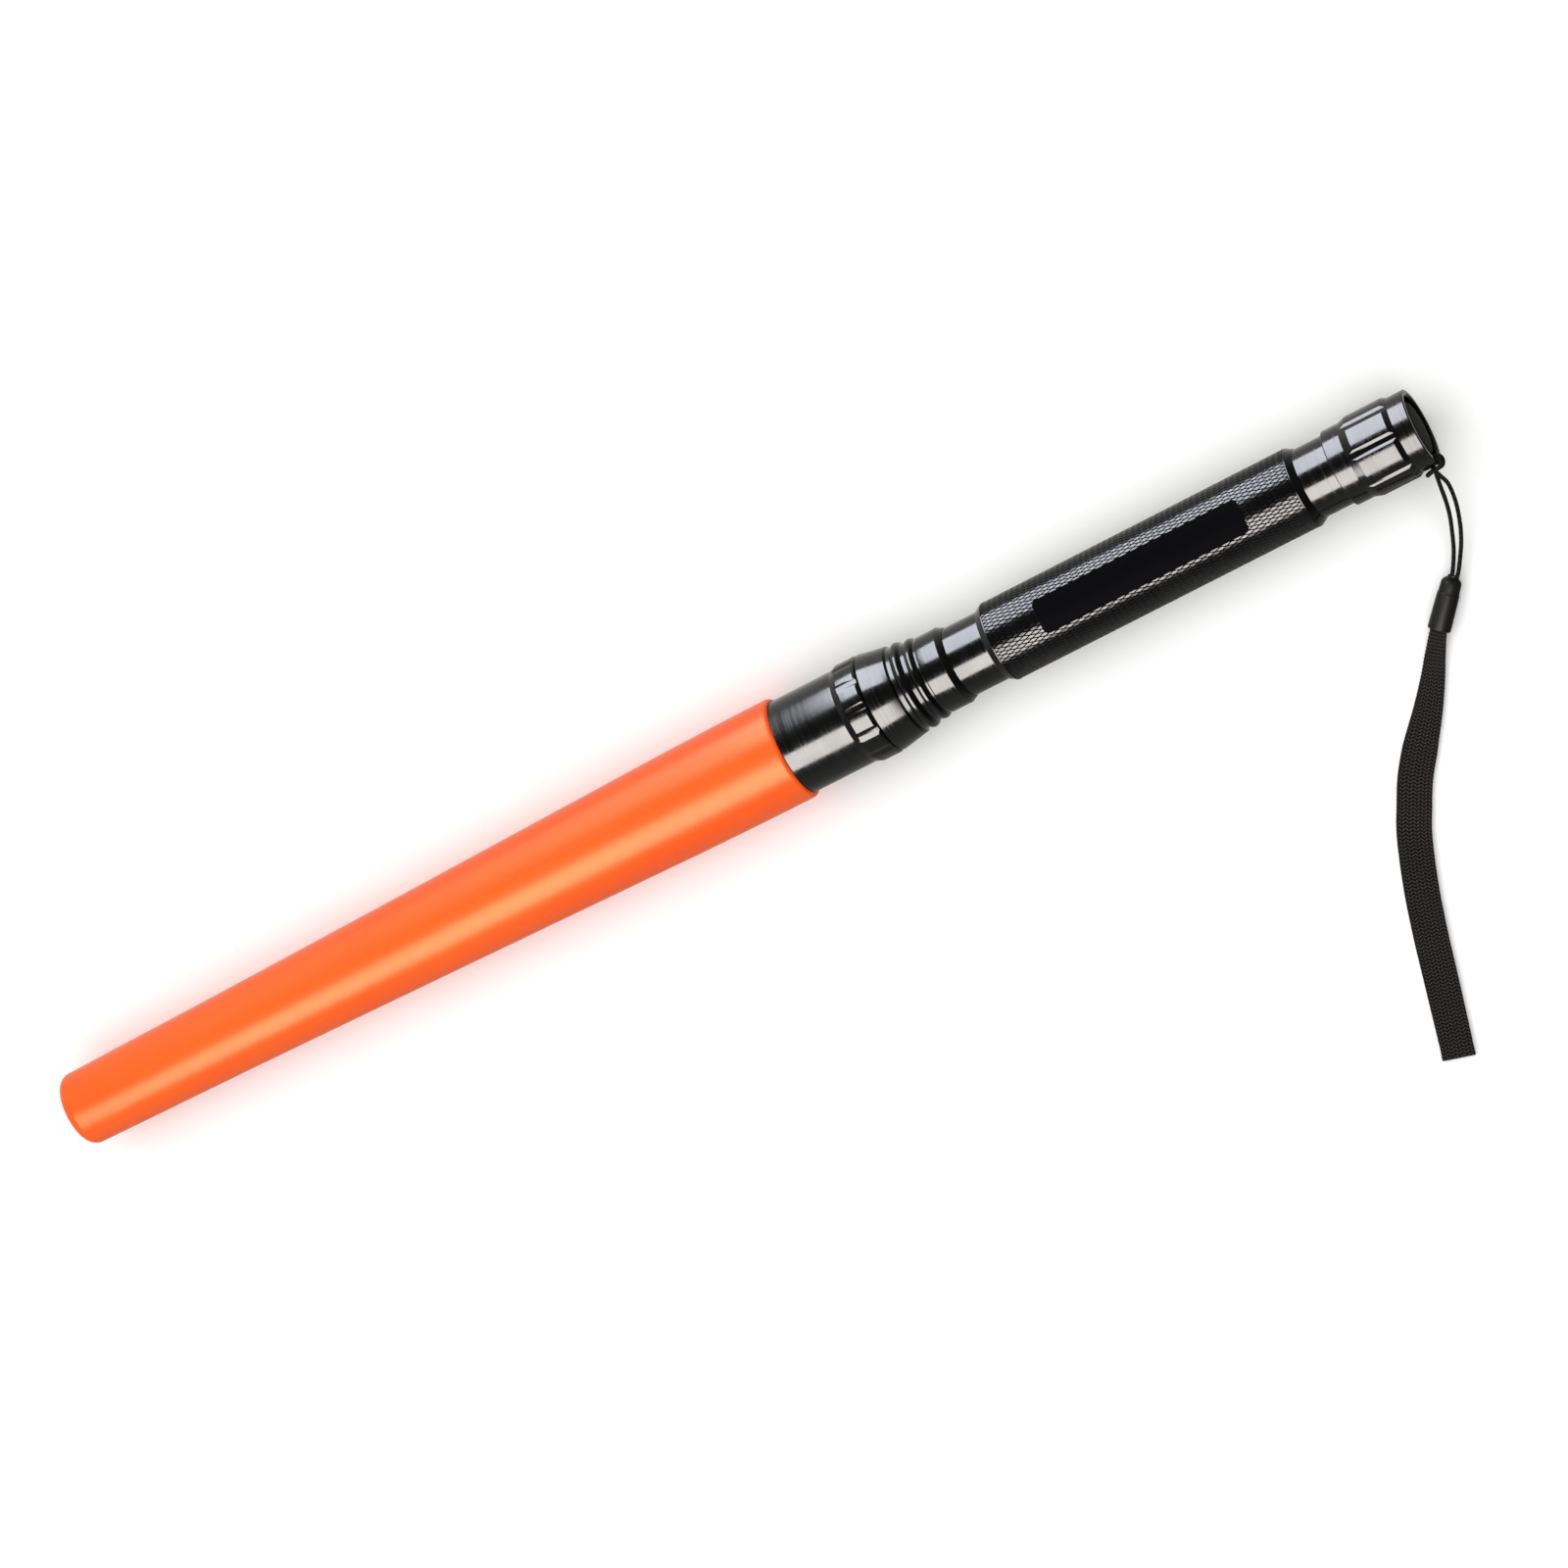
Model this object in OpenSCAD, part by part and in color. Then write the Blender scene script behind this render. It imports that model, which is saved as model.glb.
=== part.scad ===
/* [Overall] */
// Length from the tip of the cone to the rim of the tailcap
overall_len = 475; // [474:0.5:478]
// Running clearance of the turning and sliding fits, on the radius
fit = 0.05; // [0.02:0.01:0.06]

/* [Cone] */
// Diameter of the cone close behind its rounded tip
cone_tip_d = 23.6; // [23:0.1:24.4]
// Diameter of the cone half way along
cone_mid_d = 27.9; // [27.4:0.1:28.4]
// Diameter of the cone where the taper turns nearly parallel
cone_shoulder_d = 32.2; // [32:0.1:32.6]
// Largest diameter of the cone, at its mouth
cone_mouth_d = 32.9; // [32.8:0.1:33.4]
// Wall thickness of the cone
cone_wall = 1.2; // [1:0.1:1.4]
// Length of the cone, tip to mouth
cone_len = 259.8; // [259:0.2:260.6]
// Length of bezel that the cone's mouth pushes over
cone_grip = 15.3; // [14:0.1:16]

/* [Bezel] */
// Diameter of the bezel's barrel
bezel_d = 30.4; // [30.2:0.1:30.6]
// Diameter of the bezel's notched ring
ring_d = 32.1; // [31.8:0.1:32.4]
// Number of notches round the ring
notches = 12; // [6:1:16]
// Width of one notch
notch_w = 1.8; // [1.2:0.1:2.4]
// Depth of one notch
notch_depth = 0.7; // [0.4:0.1:0.8]

/* [Head] */
// Diameter of the head where it meets the bezel
head_d = 31.7; // [31.4:0.1:31.9]
// Diameter of the head at the small end of its taper
head_small_d = 28.6; // [28.4:0.1:29]
// Diameter of the head's rear collar
head_collar_d = 24.9; // [24.7:0.1:25.2]

/* [Tube] */
// Diameter of the two plain necks
neck_d = 22.3; // [22.2:0.1:22.4]
// Diameter of the knurled grip
grip_d = 25.4; // [25.2:0.1:26]
// Length of the grip with its two chamfers
grip_len = 107.6; // [106:0.2:108]
// Bore of the tube, which holds the two cells
tube_bore = 18.8; // [18.7:0.1:19]

/* [Tailcap] */
// Diameter of the tailcap's front collar
cap_front_d = 24.35; // [24.2:0.05:24.6]
// Diameter of the tailcap's grooved band
band_d = 26.05; // [25.8:0.05:26.3]
// Diameter of the tailcap's rear collar
cap_rear_d = 24.5; // [24.4:0.1:24.8]
// Number of axial grooves round the band
grooves = 8; // [4:1:10]
// Width of one groove
groove_w = 3.5; // [2:0.1:4]
// Travel of the rubber button
button_travel = 1.5; // [1:0.1:1.6]

/* [Cells] */
// Diameter of a cell
cell_d = 18.4; // [18:0.1:18.5]
// Length of a cell with its button
cell_len = 69; // [68.5:0.1:69.2]

/* [Lanyard] */
// Diameter of the thin cord
cord_d = 1.3; // [1:0.1:1.4]
// Radius of the lanyard hole in the rear collar
hole_r = 1.5; // [1.4:0.05:1.6]
// Width of the woven strap
strap_w = 10; // [8:0.5:12]
// Thickness of the doubled strap
strap_t = 2.2; // [1.6:0.1:2.6]

/* [Hidden] */
$fn = 96;
axis_h = cone_mouth_d / 2;
tail_x = overall_len / 2;
tip_x = tail_x - overall_len;
cone_mouth_x = tip_x + cone_len;

// Bezel stations along the torch
bezel_x = cone_mouth_x - cone_grip;
ring_ramp_x = 43.7;
ring_x = 45.9;
bezel_end_x = 52.6;
bezel_bore_r = 14.25;
lip_r = 12.6;
lip_t = 1.6;
notch_phase = -5;
lens_seat_x = bezel_x + lip_t;
lens_pocket_x = lens_seat_x + 3.5;

// Seals in the head and the tube, with their grooves
seal_thick = 0.54;
groove_half = 0.65;
bezel_seal_x = 49.2;
bezel_seal_r = 13.62;
bezel_groove_r = 13.05;
neck_seals_x = [74, 213.5];
neck_seal_r = 10.6;
neck_groove_r = 10.05;

// Lens, reflector and lamp stations
lens_seal_r = 13.2;
lens_seal_thick = 0.48;
lens_x = lens_seat_x + 1.05;
lens_t = 2;
lens_r = 13.9;
reflector_x = lens_x + lens_t + 0.1;
reflector_rim_r = 13.2;
reflector_rim_t = 1.75;
reflector_end_x = 34.6;
focus_x = 35.2;
reflector_open_r = 12.6;
neck_thread_r = 8;
pill_x = 31.1;
pill_r = 10.4;
pill_end_x = 47;
led_board_x = 34.8;
board_t = 1.6;

// Head stations
spigot_x = 38;
spigot_r = bezel_bore_r - fit;
spigot_bore_r = 12.2;
web_x = 50;
tube_x = 57;
head_x = bezel_end_x + 0.1;
head_taper_end_x = 61.7;
head_end_x = 80.5;
neck_r = neck_d / 2;
socket_r = neck_r + fit;

// Grip and cells
grip_x = 92.3;
grip_end_x = grip_x + grip_len;
chamfer_x = 2.1;
cell_x = 61;
// Radius and height of a cell's raised button
cell_button = [2.8, 1.5];

// Tailcap stations
cap_x = 210.1;
cap_front_end_x = 215.7;
band_x = 218.4;
band_end_x = 230.4;
cap_rear_x = 232.1;
tube_end_x = 219;
cap_thread_end_x = 221;
switch_bore_r = 11;
board_x = 223.7;
switch_board_t = 1.2;
switch_x = board_x + switch_board_t;
housing_end_x = 229;
housing_r = 7.6;
plunger_r = 2.5;
plunger_x = 226.7;
plunger_end_x = 233.6;
boot_lip_x = 232.6;
rim_r = 10.3;
boot_skirt_r = rim_r - 0.1;
boot_top_x = tail_x - 0.1;
groove_depth = 0.8;
groove_phase = -6;
hole_x = tail_x - 2.4;

// Bead and strap
bead_end = [212, -56, 3.6];
bead_angle = 48;
bead_len = 17.5;
bead_r = [3.1, 3.6];
bead_dome = 3;

// Route of the cord: out of the bead, through the hole, round the rim and the strands, back to the bead
cord_route = [
    [221.5, -44.6, 3.6], [223.4, -42.8, 3.8], [226.8, -37.4, 4.8], [229.2, -32.6, 6.6],
    [231.6, -27, 9], [233, -22.4, 11.4], [233.8, -18.8, 13.4], [234.6, -15.4, 15.1],
    [235.1, -12.8, 15.75], [235.1, -11, 15.75], [235.6, -9.8, 15.6], [236.9, -9.4, 15.2],
    [238.1, -10.2, 14.7], [238.3, -11.5, 14.4], [237.5, -12.8, 14.3], [236, -13.1, 14.3],
    [234.4, -13.2, 14.4], [233, -13.5, 15.1], [232.6, -13.7, 16.45], [233, -13.5, 17.8],
    [234.4, -13.2, 18.5], [236, -13.1, 18.6], [237.5, -12.8, 18.6], [238.3, -11.5, 18.5],
    [238.1, -10.2, 18.2], [236.9, -9.4, 17.7], [235.6, -9.8, 17.3], [235.1, -11, 17.15],
    [235.1, -12.8, 17.15], [235.9, -15.4, 16.7], [236.6, -18.6, 14.9], [235.6, -24, 11.8],
    [233.4, -29.8, 8.4], [231, -34.6, 6.1], [228.6, -38.4, 4.8], [224.9, -43.6, 3.8],
    [222.6, -45.6, 3.6]
];
// Middle line of the strap as it lies, from inside the bead to its folded end
strap_route = [
    [213, -55], [211, -57], [207, -62.5], [203, -68.5], [197.5, -76], [191, -84], [185, -92],
    [180.5, -100], [176.5, -108], [171.5, -122], [167.5, -136], [164, -150], [158.5, -172]
];

// Turns a closed outline of [station, radius] points about the torch's axis
module turned(outline)
    translate([0, 0, axis_h]) rotate([0, 90, 0])
        rotate_extrude() polygon([for (p = outline) [p[1], p[0]]]);

// A plain ring or disc between two stations
module sleeve(x0, x1, outer, inner = 0)
    turned([[x0, inner], [x0, outer], [x1, outer], [x1, inner]]);

// A round seal of the given ring radius and thickness
module seal(x, ring_r, thick_r)
    translate([x, 0, axis_h]) rotate([0, 90, 0])
        rotate_extrude() translate([ring_r, 0]) circle(thick_r, $fn = 24);

// Children standing at the top of the torch, repeated round its axis
module round_axis(count, phase)
    for (i = [0 : count - 1])
        translate([0, 0, axis_h]) rotate([phase + i * 360 / count, 0, 0]) children();

function unit(v) = v / norm(v);
function along(points, i) =
    unit(points[min(i + 1, len(points) - 1)] - points[max(i - 1, 0)]);
// A direction across the line, carried from point to point without twisting
function across(points, i) =
    i == 0 ? unit(cross(along(points, 0), [0, 0, 1]))
    : let (u = across(points, i - 1), t = along(points, i)) unit(u - (u * t) * t);

// A round tube along a line of points, closed at both ends
module tube_along(points, r, sides) {
    count = len(points);
    rings = [
        for (i = [0 : count - 1])
            let (t = along(points, i), u = across(points, i), w = cross(t, u))
                for (k = [0 : sides - 1])
                    points[i] + r * (cos(k * 360 / sides) * u + sin(k * 360 / sides) * w)
    ];
    walls = [
        for (i = [0 : count - 2], k = [0 : sides - 1])
            let (a = i * sides + k, b = i * sides + (k + 1) % sides)
                each [[a, a + sides, b + sides], [a, b + sides, b]]
    ];
    start_cap = [[for (k = [0 : sides - 1]) k]];
    end_cap = [[for (k = [sides - 1 : -1 : 0]) (count - 1) * sides + k]];
    polyhedron(rings, concat(walls, start_cap, end_cap), convexity = 10);
}

// Points along a coil spring about the torch's axis, its radius changing evenly
function coil(x0, x1, r0, r1, turns, per_turn = 14) = [
    for (i = [0 : turns * per_turn])
        let (s = i / (turns * per_turn), a = i * 360 / per_turn, r = r0 + (r1 - r0) * s)
            [x0 + (x1 - x0) * s, r * cos(a), axis_h + r * sin(a)]
];

// Rounded corner of an outline about a centre, from one angle to the other
function corner(centre, r, from, to, steps = 6) = [
    for (i = [0 : steps])
        let (a = from + (to - from) * i / steps) centre + r * [cos(a), sin(a)]
];

module diffuser_cone() {
    tip_round = 3.5;
    tip_r = cone_tip_d / 2;
    socket = bezel_d / 2 + fit;
    socket_end = bezel_x - 0.3;
    mid_x = -114;
    shoulder_x = -18;
    mouth_round = 1.6;
    mouth_r = cone_mouth_d / 2;
    color("orangered") turned(concat(
        [[tip_x, 0]],
        corner([tip_x + 0.7 + tip_round, tip_r - tip_round], tip_round, 180, 90),
        [[mid_x, cone_mid_d / 2], [shoulder_x, cone_shoulder_d / 2]],
        corner([cone_mouth_x - mouth_round, mouth_r - mouth_round / 2], mouth_round / 2, 90, 0, 3),
        [
            [cone_mouth_x, socket + 0.15], [cone_mouth_x - 0.4, socket], [socket_end, socket],
            [socket_end, cone_shoulder_d / 2 - cone_wall], [shoulder_x, cone_shoulder_d / 2 - cone_wall],
            [mid_x, cone_mid_d / 2 - cone_wall]
        ],
        corner([tip_x + 0.7 + tip_round, tip_r - tip_round], tip_round - cone_wall, 90, 180),
        [[tip_x + cone_wall, 0]]
    ));
}

module bezel() {
    edge = 0.5;
    color("dimgray") difference() {
        turned([
            [bezel_x, lip_r + 0.6], [bezel_x, bezel_d / 2 - edge], [bezel_x + edge, bezel_d / 2],
            [ring_ramp_x, bezel_d / 2], [ring_x, ring_d / 2], [bezel_end_x - edge, ring_d / 2],
            [bezel_end_x, ring_d / 2 - edge], [bezel_end_x, bezel_bore_r],
            [lens_pocket_x, bezel_bore_r], [lens_pocket_x, lens_r + fit],
            [lens_seat_x, lens_r + fit], [lens_seat_x, lip_r], [bezel_x + 0.6, lip_r]
        ]);
        round_axis(notches, notch_phase)
            translate([ring_x + 0.4, -notch_w / 2, ring_d / 2 - notch_depth])
                cube([bezel_end_x - ring_x, notch_w, 2]);
    }
}

module front_lens() color("lightcyan") sleeve(lens_x, lens_x + lens_t, lens_r);

module lens_oring() color("black") seal((lens_seat_x + lens_x) / 2, lens_seal_r, lens_seal_thick);

module reflector() {
    bowl = reflector_open_r ^ 2 / (focus_x - reflector_x);
    emitter_hole_r = 3.4;
    hole_x0 = focus_x - emitter_hole_r ^ 2 / bowl;
    steps = 10;
    color("gainsboro") turned(concat(
        [
            [reflector_x, reflector_rim_r], [reflector_x + reflector_rim_t, reflector_rim_r],
            [reflector_x + reflector_rim_t, reflector_rim_r - 0.25], [pill_x - 0.1, neck_thread_r],
            [reflector_end_x, neck_thread_r], [reflector_end_x, emitter_hole_r]
        ],
        [
            for (i = [0 : steps])
                let (x = hole_x0 + (reflector_x - hole_x0) * i / steps)
                    [x, sqrt(bowl * (focus_x - x))]
        ]
    ));
}

module led_emitter() {
    chip = [1.2, 3.45, 3.45];
    dome_r = 1.15;
    color("khaki") {
        translate([led_board_x - chip[0], -chip[1] / 2, axis_h - chip[2] / 2]) cube(chip);
        translate([led_board_x - chip[0], 0, axis_h]) sphere(dome_r, $fn = 32);
    }
}

module led_board() color("white") sleeve(led_board_x, led_board_x + board_t, neck_thread_r);

module lamp_pill() {
    cup_end = led_board_x + board_t;
    web_end = cup_end + 1.6;
    bore_r = pill_r - 1.1;
    wire_hole_r = 1;
    wire_hole_y = 5;
    color("goldenrod") difference() {
        turned([
            [pill_x, neck_thread_r + fit], [pill_x, pill_r], [pill_end_x, pill_r],
            [pill_end_x, bore_r], [web_end, bore_r], [web_end, 0],
            [cup_end, 0], [cup_end, neck_thread_r + fit]
        ]);
        for (side = [-1, 1])
            translate([cup_end - 1, side * wire_hole_y, axis_h]) rotate([0, 90, 0])
                cylinder(h = 4, r = wire_hole_r);
    }
}

module driver_board()
    color("darkgreen") sleeve(pill_end_x - board_t, pill_end_x, pill_r - 1.1 - fit);

module pill_spring_inner() {
    wire_r = 0.4;
    color("gold")
        tube_along(coil(pill_end_x + wire_r, cell_x - wire_r - 0.05, 4.2, 2.2, 4), wire_r, 6);
}

module pill_spring_outer() {
    wire_r = 0.45;
    coil_r = 11.3;
    color("gold")
        tube_along(coil(pill_x + wire_r + 0.15, web_x - wire_r - 0.05, coil_r, coil_r, 5), wire_r, 6);
}

module head_shell() {
    groove_x = bezel_seal_x - groove_half;
    groove_end_x = bezel_seal_x + groove_half;
    head_edge_r = head_d / 2;
    collar_r = head_collar_d / 2;
    tube_stop_x = tube_x - 0.1;
    tube_stop_r = 9.6;
    color("dimgray") turned(concat(
        [
            [spigot_x, spigot_bore_r], [spigot_x, spigot_r], [groove_x, spigot_r],
            [groove_x, bezel_groove_r], [groove_end_x, bezel_groove_r], [groove_end_x, spigot_r],
            [head_x, spigot_r], [head_x, head_edge_r - 0.4], [head_x + 0.5, head_edge_r],
            [head_taper_end_x, head_small_d / 2], [62.2, 13.45], [63.1, 13.35]
        ],
        corner([64.9, 12.45], 1.6, 145, 35, 5),
        [[66.8, 12.8], [67.6, 12.7]],
        corner([69.2, 11.75], 1.5, 145, 35, 5),
        [
            [70.9, 12], [71.6, 12], [71.9, collar_r], [78.4, collar_r],
            [head_end_x, collar_r - 1.1], [head_end_x, socket_r], [tube_stop_x, socket_r],
            [tube_stop_x, tube_stop_r], [web_x, tube_stop_r], [web_x, spigot_bore_r]
        ]
    ));
}

module bezel_oring() color("black") seal(bezel_seal_x, bezel_seal_r, seal_thick);

module head_oring() color("black") seal(neck_seals_x[0], neck_seal_r, seal_thick);

module tail_oring() color("black") seal(neck_seals_x[1], neck_seal_r, seal_thick);

module body_tube() {
    grip_r = grip_d / 2;
    bore_r = tube_bore / 2;
    edge = 0.5;
    step_r = neck_r + 0.35;
    function groove(x) = [
        [x - groove_half, neck_r], [x - groove_half, neck_groove_r],
        [x + groove_half, neck_groove_r], [x + groove_half, neck_r]
    ];
    color("dimgray") turned(concat(
        [[tube_x, bore_r], [tube_x, neck_r - edge], [tube_x + edge, neck_r]],
        groove(neck_seals_x[0]),
        [
            [grip_x, neck_r], [grip_x, step_r], [grip_x + chamfer_x, grip_r],
            [grip_end_x - chamfer_x, grip_r], [grip_end_x, step_r], [grip_end_x, neck_r]
        ],
        groove(neck_seals_x[1]),
        [[tube_end_x - edge, neck_r], [tube_end_x, neck_r - edge], [tube_end_x, bore_r]]
    ));
}

// One cell with its raised button towards the lamp
module cell(x) {
    r = cell_d / 2;
    can_x = x + cell_button[1];
    end_x = x + cell_len;
    shoulder = 0.8;
    edge = 0.5;
    turned([
        [x, 0], [x, cell_button[0]], [can_x, cell_button[0]], [can_x, r - shoulder],
        [can_x + shoulder, r], [end_x - edge, r], [end_x, r - edge], [end_x, 0]
    ]);
}

module battery_front() color("steelblue") cell(cell_x);

module battery_rear() color("steelblue") cell(cell_x + cell_len);

module tail_spring() {
    wire_r = 0.5;
    gap = wire_r + 0.05;
    color("gold")
        tube_along(coil(cell_x + 2 * cell_len + gap, board_x - gap, 4, 7.4, 6), wire_r, 6);
}

module tailcap_shell() {
    front_r = cap_front_d / 2;
    rear_r = cap_rear_d / 2;
    edge = 0.6;
    color("dimgray") difference() {
        turned([
            [cap_x, socket_r], [cap_x, front_r - 0.3], [cap_x + 0.3, front_r],
            [cap_front_end_x, front_r],
            [band_x, band_d / 2], [band_end_x, band_d / 2], [cap_rear_x, rear_r],
            [tail_x - edge, rear_r], [tail_x, rear_r - edge], [tail_x, rim_r + edge],
            [tail_x - edge, rim_r], [boot_lip_x, rim_r], [boot_lip_x, switch_bore_r],
            [cap_thread_end_x, switch_bore_r], [cap_thread_end_x, socket_r]
        ]);
        round_axis(grooves, groove_phase)
            translate([cap_front_end_x, -groove_w / 2, band_d / 2 - groove_depth])
                cube([cap_rear_x - cap_front_end_x, groove_w, 2]);
        translate([hole_x, 0, axis_h]) rotate([90, 0, 0]) cylinder(h = 20, r = hole_r);
    }
}

module switch_retaining_ring() {
    ring_bore_r = 8.6;
    pin_hole_r = 0.6;
    color("silver") difference() {
        sleeve(cap_thread_end_x, board_x, switch_bore_r, ring_bore_r);
        for (side = [-1, 1])
            translate([cap_thread_end_x - 1, side * (ring_bore_r + switch_bore_r) / 2, axis_h])
                rotate([0, 90, 0]) cylinder(h = 2.4, r = pin_hole_r);
    }
}

module switch_board() color("darkgreen") sleeve(board_x, switch_x, switch_bore_r - 0.1);

module switch_housing() {
    floor_x = switch_x + 0.1;
    guide_r = plunger_r + fit;
    color("ivory") turned([
        [switch_x, 0], [switch_x, housing_r], [housing_end_x, housing_r],
        [housing_end_x, guide_r], [floor_x, guide_r], [floor_x, 0]
    ]);
}

module switch_spacer()
    color("black") sleeve(switch_x, housing_end_x + 0.2, switch_bore_r - 0.1, housing_r + 0.4);

module switch_plunger() {
    head_x0 = 231.2;
    head_r = 4;
    color("white") turned([
        [plunger_x, 0], [plunger_x, plunger_r], [head_x0, plunger_r], [head_x0, head_r],
        [plunger_end_x, head_r], [plunger_end_x, 0]
    ]);
}

module switch_boot() {
    flange_x = boot_lip_x - 0.1;
    flange_t = 1.5;
    flange_r = switch_bore_r - 0.1;
    inner_r = 8.4;
    color("black") turned([
        [flange_x - flange_t, inner_r], [flange_x - flange_t, flange_r], [flange_x, flange_r],
        [flange_x, boot_skirt_r], [233.6, boot_skirt_r], [234.4, 9.6], [235.2, 9],
        [236.2, 8.6], [236.9, 7.8], [237.25, 5.5], [boot_top_x, 0], [plunger_end_x, 0], [plunger_end_x, 6.4],
        [boot_lip_x, inner_r]
    ]);
}

module lanyard_cord() color("black") tube_along(cord_route, cord_d / 2, 8);

module lanyard_bead()
    color("black") translate(bead_end) rotate([0, 0, bead_angle]) rotate([0, 90, 0])
        rotate_extrude() polygon(concat(
            [[0, 0], [bead_r[1] - 0.5, 0], [bead_r[1], 0.5]],
            [for (a = [0 : 15 : 75]) [bead_r[0] * cos(a), bead_len - 0.4 + bead_dome * (sin(a) - 1)]],
            [[0, bead_len - 0.4]]
        ));

module wrist_strap() {
    count = len(strap_route);
    pinched_half_w = 2.5;
    function half_w(i) = min(strap_w / 2, pinched_half_w + 0.5 * i);
    function side_point(i, side) =
        let (t = along(strap_route, i)) strap_route[i] + side * half_w(i) * [-t[1], t[0]];
    color("black") linear_extrude(strap_t) polygon(concat(
        [for (i = [0 : count - 1]) side_point(i, 1)],
        [for (i = [count - 1 : -1 : 0]) side_point(i, -1)]
    ));
}

diffuser_cone();
bezel();
front_lens();
lens_oring();
reflector();
led_emitter();
led_board();
lamp_pill();
driver_board();
pill_spring_inner();
pill_spring_outer();
head_shell();
bezel_oring();
head_oring();
body_tube();
battery_front();
battery_rear();
tail_oring();
tail_spring();
tailcap_shell();
switch_retaining_ring();
switch_board();
switch_housing();
switch_spacer();
switch_plunger();
switch_boot();
lanyard_cord();
lanyard_bead();
wrist_strap();
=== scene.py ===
"""Looks of a traffic baton light: a knurled black torch, its orange cone and its wrist strap."""
import logging
import math
from contextlib import contextmanager
from dataclasses import dataclass
from enum import Enum
from functools import cache
from typing import Callable, Iterator, Sequence

import bmesh
import bpy
from mathutils import Matrix, Vector


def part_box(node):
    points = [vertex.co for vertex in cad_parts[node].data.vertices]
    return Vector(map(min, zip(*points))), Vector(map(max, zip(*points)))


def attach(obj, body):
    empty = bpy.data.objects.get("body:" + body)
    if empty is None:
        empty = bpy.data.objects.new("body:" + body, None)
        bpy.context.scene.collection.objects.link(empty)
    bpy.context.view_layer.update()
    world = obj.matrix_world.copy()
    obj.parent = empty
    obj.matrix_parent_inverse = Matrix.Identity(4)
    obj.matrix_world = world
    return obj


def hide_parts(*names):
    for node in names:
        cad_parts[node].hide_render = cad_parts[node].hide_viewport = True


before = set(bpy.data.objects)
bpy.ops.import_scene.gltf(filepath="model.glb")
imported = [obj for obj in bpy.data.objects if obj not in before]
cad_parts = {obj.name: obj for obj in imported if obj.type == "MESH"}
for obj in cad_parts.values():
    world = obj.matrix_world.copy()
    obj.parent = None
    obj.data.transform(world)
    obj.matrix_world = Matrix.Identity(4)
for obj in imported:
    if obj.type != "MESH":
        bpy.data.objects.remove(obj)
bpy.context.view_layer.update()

log = logging.getLogger("baton")
Outline = list[tuple[float, float]]

MM = 0.001
AXIS_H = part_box("diffuser_cone")[1].z / 2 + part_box("diffuser_cone")[0].z / 2
AXIS = Vector((0.0, 0.0, AXIS_H))
FULL_TURN = 2 * math.pi


class SeenIn(Enum):
    """What a soft box does: show as a reflection, or light the surfaces evenly."""

    SHINE = "shine"
    WASH = "wash"


class Element(Enum):
    """What a mesh selection is made of, and where the mesh keeps it."""

    FACE = "faces"
    EDGE = "edges"


def stations(node: str) -> tuple[float, float]:
    """First and last station of a CAD node along the torch, in millimetres.

    Args:
        node: name of the CAD node.

    Returns:
        Its lowest and highest X, in millimetres.
    """
    low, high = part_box(node)
    return low.x / MM, high.x / MM


def radius(node: str) -> float:
    """Largest radius of a CAD node about the torch's axis, in millimetres."""
    low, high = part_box(node)
    return (high.z - low.z) / 2 / MM


# ---------------------------------------------------------------- modelling


def pick(piece: bpy.types.Object) -> None:
    """Makes a piece the active one, and the only one that is selected."""
    bpy.ops.object.select_all(action="DESELECT")
    piece.select_set(True)
    bpy.context.view_layer.objects.active = piece


def bring_in(name: str, data: bpy.types.ID) -> bpy.types.Object:
    """Puts an object with its data into the scene.

    Args:
        name: the object's name.
        data: its mesh, curve, light or camera.

    Returns:
        The object.
    """
    thing = bpy.data.objects.new(name, data)
    bpy.context.scene.collection.objects.link(thing)
    return thing


@contextmanager
def editing(piece: bpy.types.Object) -> Iterator[None]:
    """Opens a piece in edit mode with nothing selected, and closes it again.

    Args:
        piece: the mesh object to edit.
    """
    pick(piece)
    bpy.ops.object.mode_set(mode="EDIT")
    bpy.ops.mesh.select_mode(type="VERT")
    bpy.ops.mesh.select_all(action="DESELECT")
    yield
    bpy.ops.object.mode_set(mode="OBJECT")


def pick_elements(piece: bpy.types.Object, kind: Element, wanted: Callable[..., bool]) -> int:
    """Selects the faces or edges of a piece that pass a test, in edit mode.

    Args:
        piece: the piece being edited.
        kind: whether faces or edges are selected.
        wanted: says whether one of them is to be selected.

    Returns:
        How many are now selected.
    """
    bpy.ops.mesh.select_mode(type=kind.name)
    bpy.ops.mesh.select_all(action="DESELECT")
    mesh = bmesh.from_edit_mesh(piece.data)
    found = [element for element in getattr(mesh, kind.value) if wanted(element)]
    for element in found:
        element.select_set(True)
    mesh.select_flush_mode()
    bmesh.update_edit_mesh(piece.data)
    return len(found)


def arc(centre: tuple[float, float], r: float, start: float, end: float, steps: int = 8) -> Outline:
    """Points of a round stretch of an outline.

    Args:
        centre: station and radius of the arc's centre, in millimetres.
        r: radius of the arc, in millimetres.
        start: first angle, in degrees.
        end: last angle, in degrees.
        steps: number of straight steps.

    Returns:
        The arc's points, both ends included.
    """
    angles = [math.radians(start + (end - start) * i / steps) for i in range(steps + 1)]
    return [(centre[0] + r * math.cos(a), centre[1] + r * math.sin(a)) for a in angles]


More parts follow.
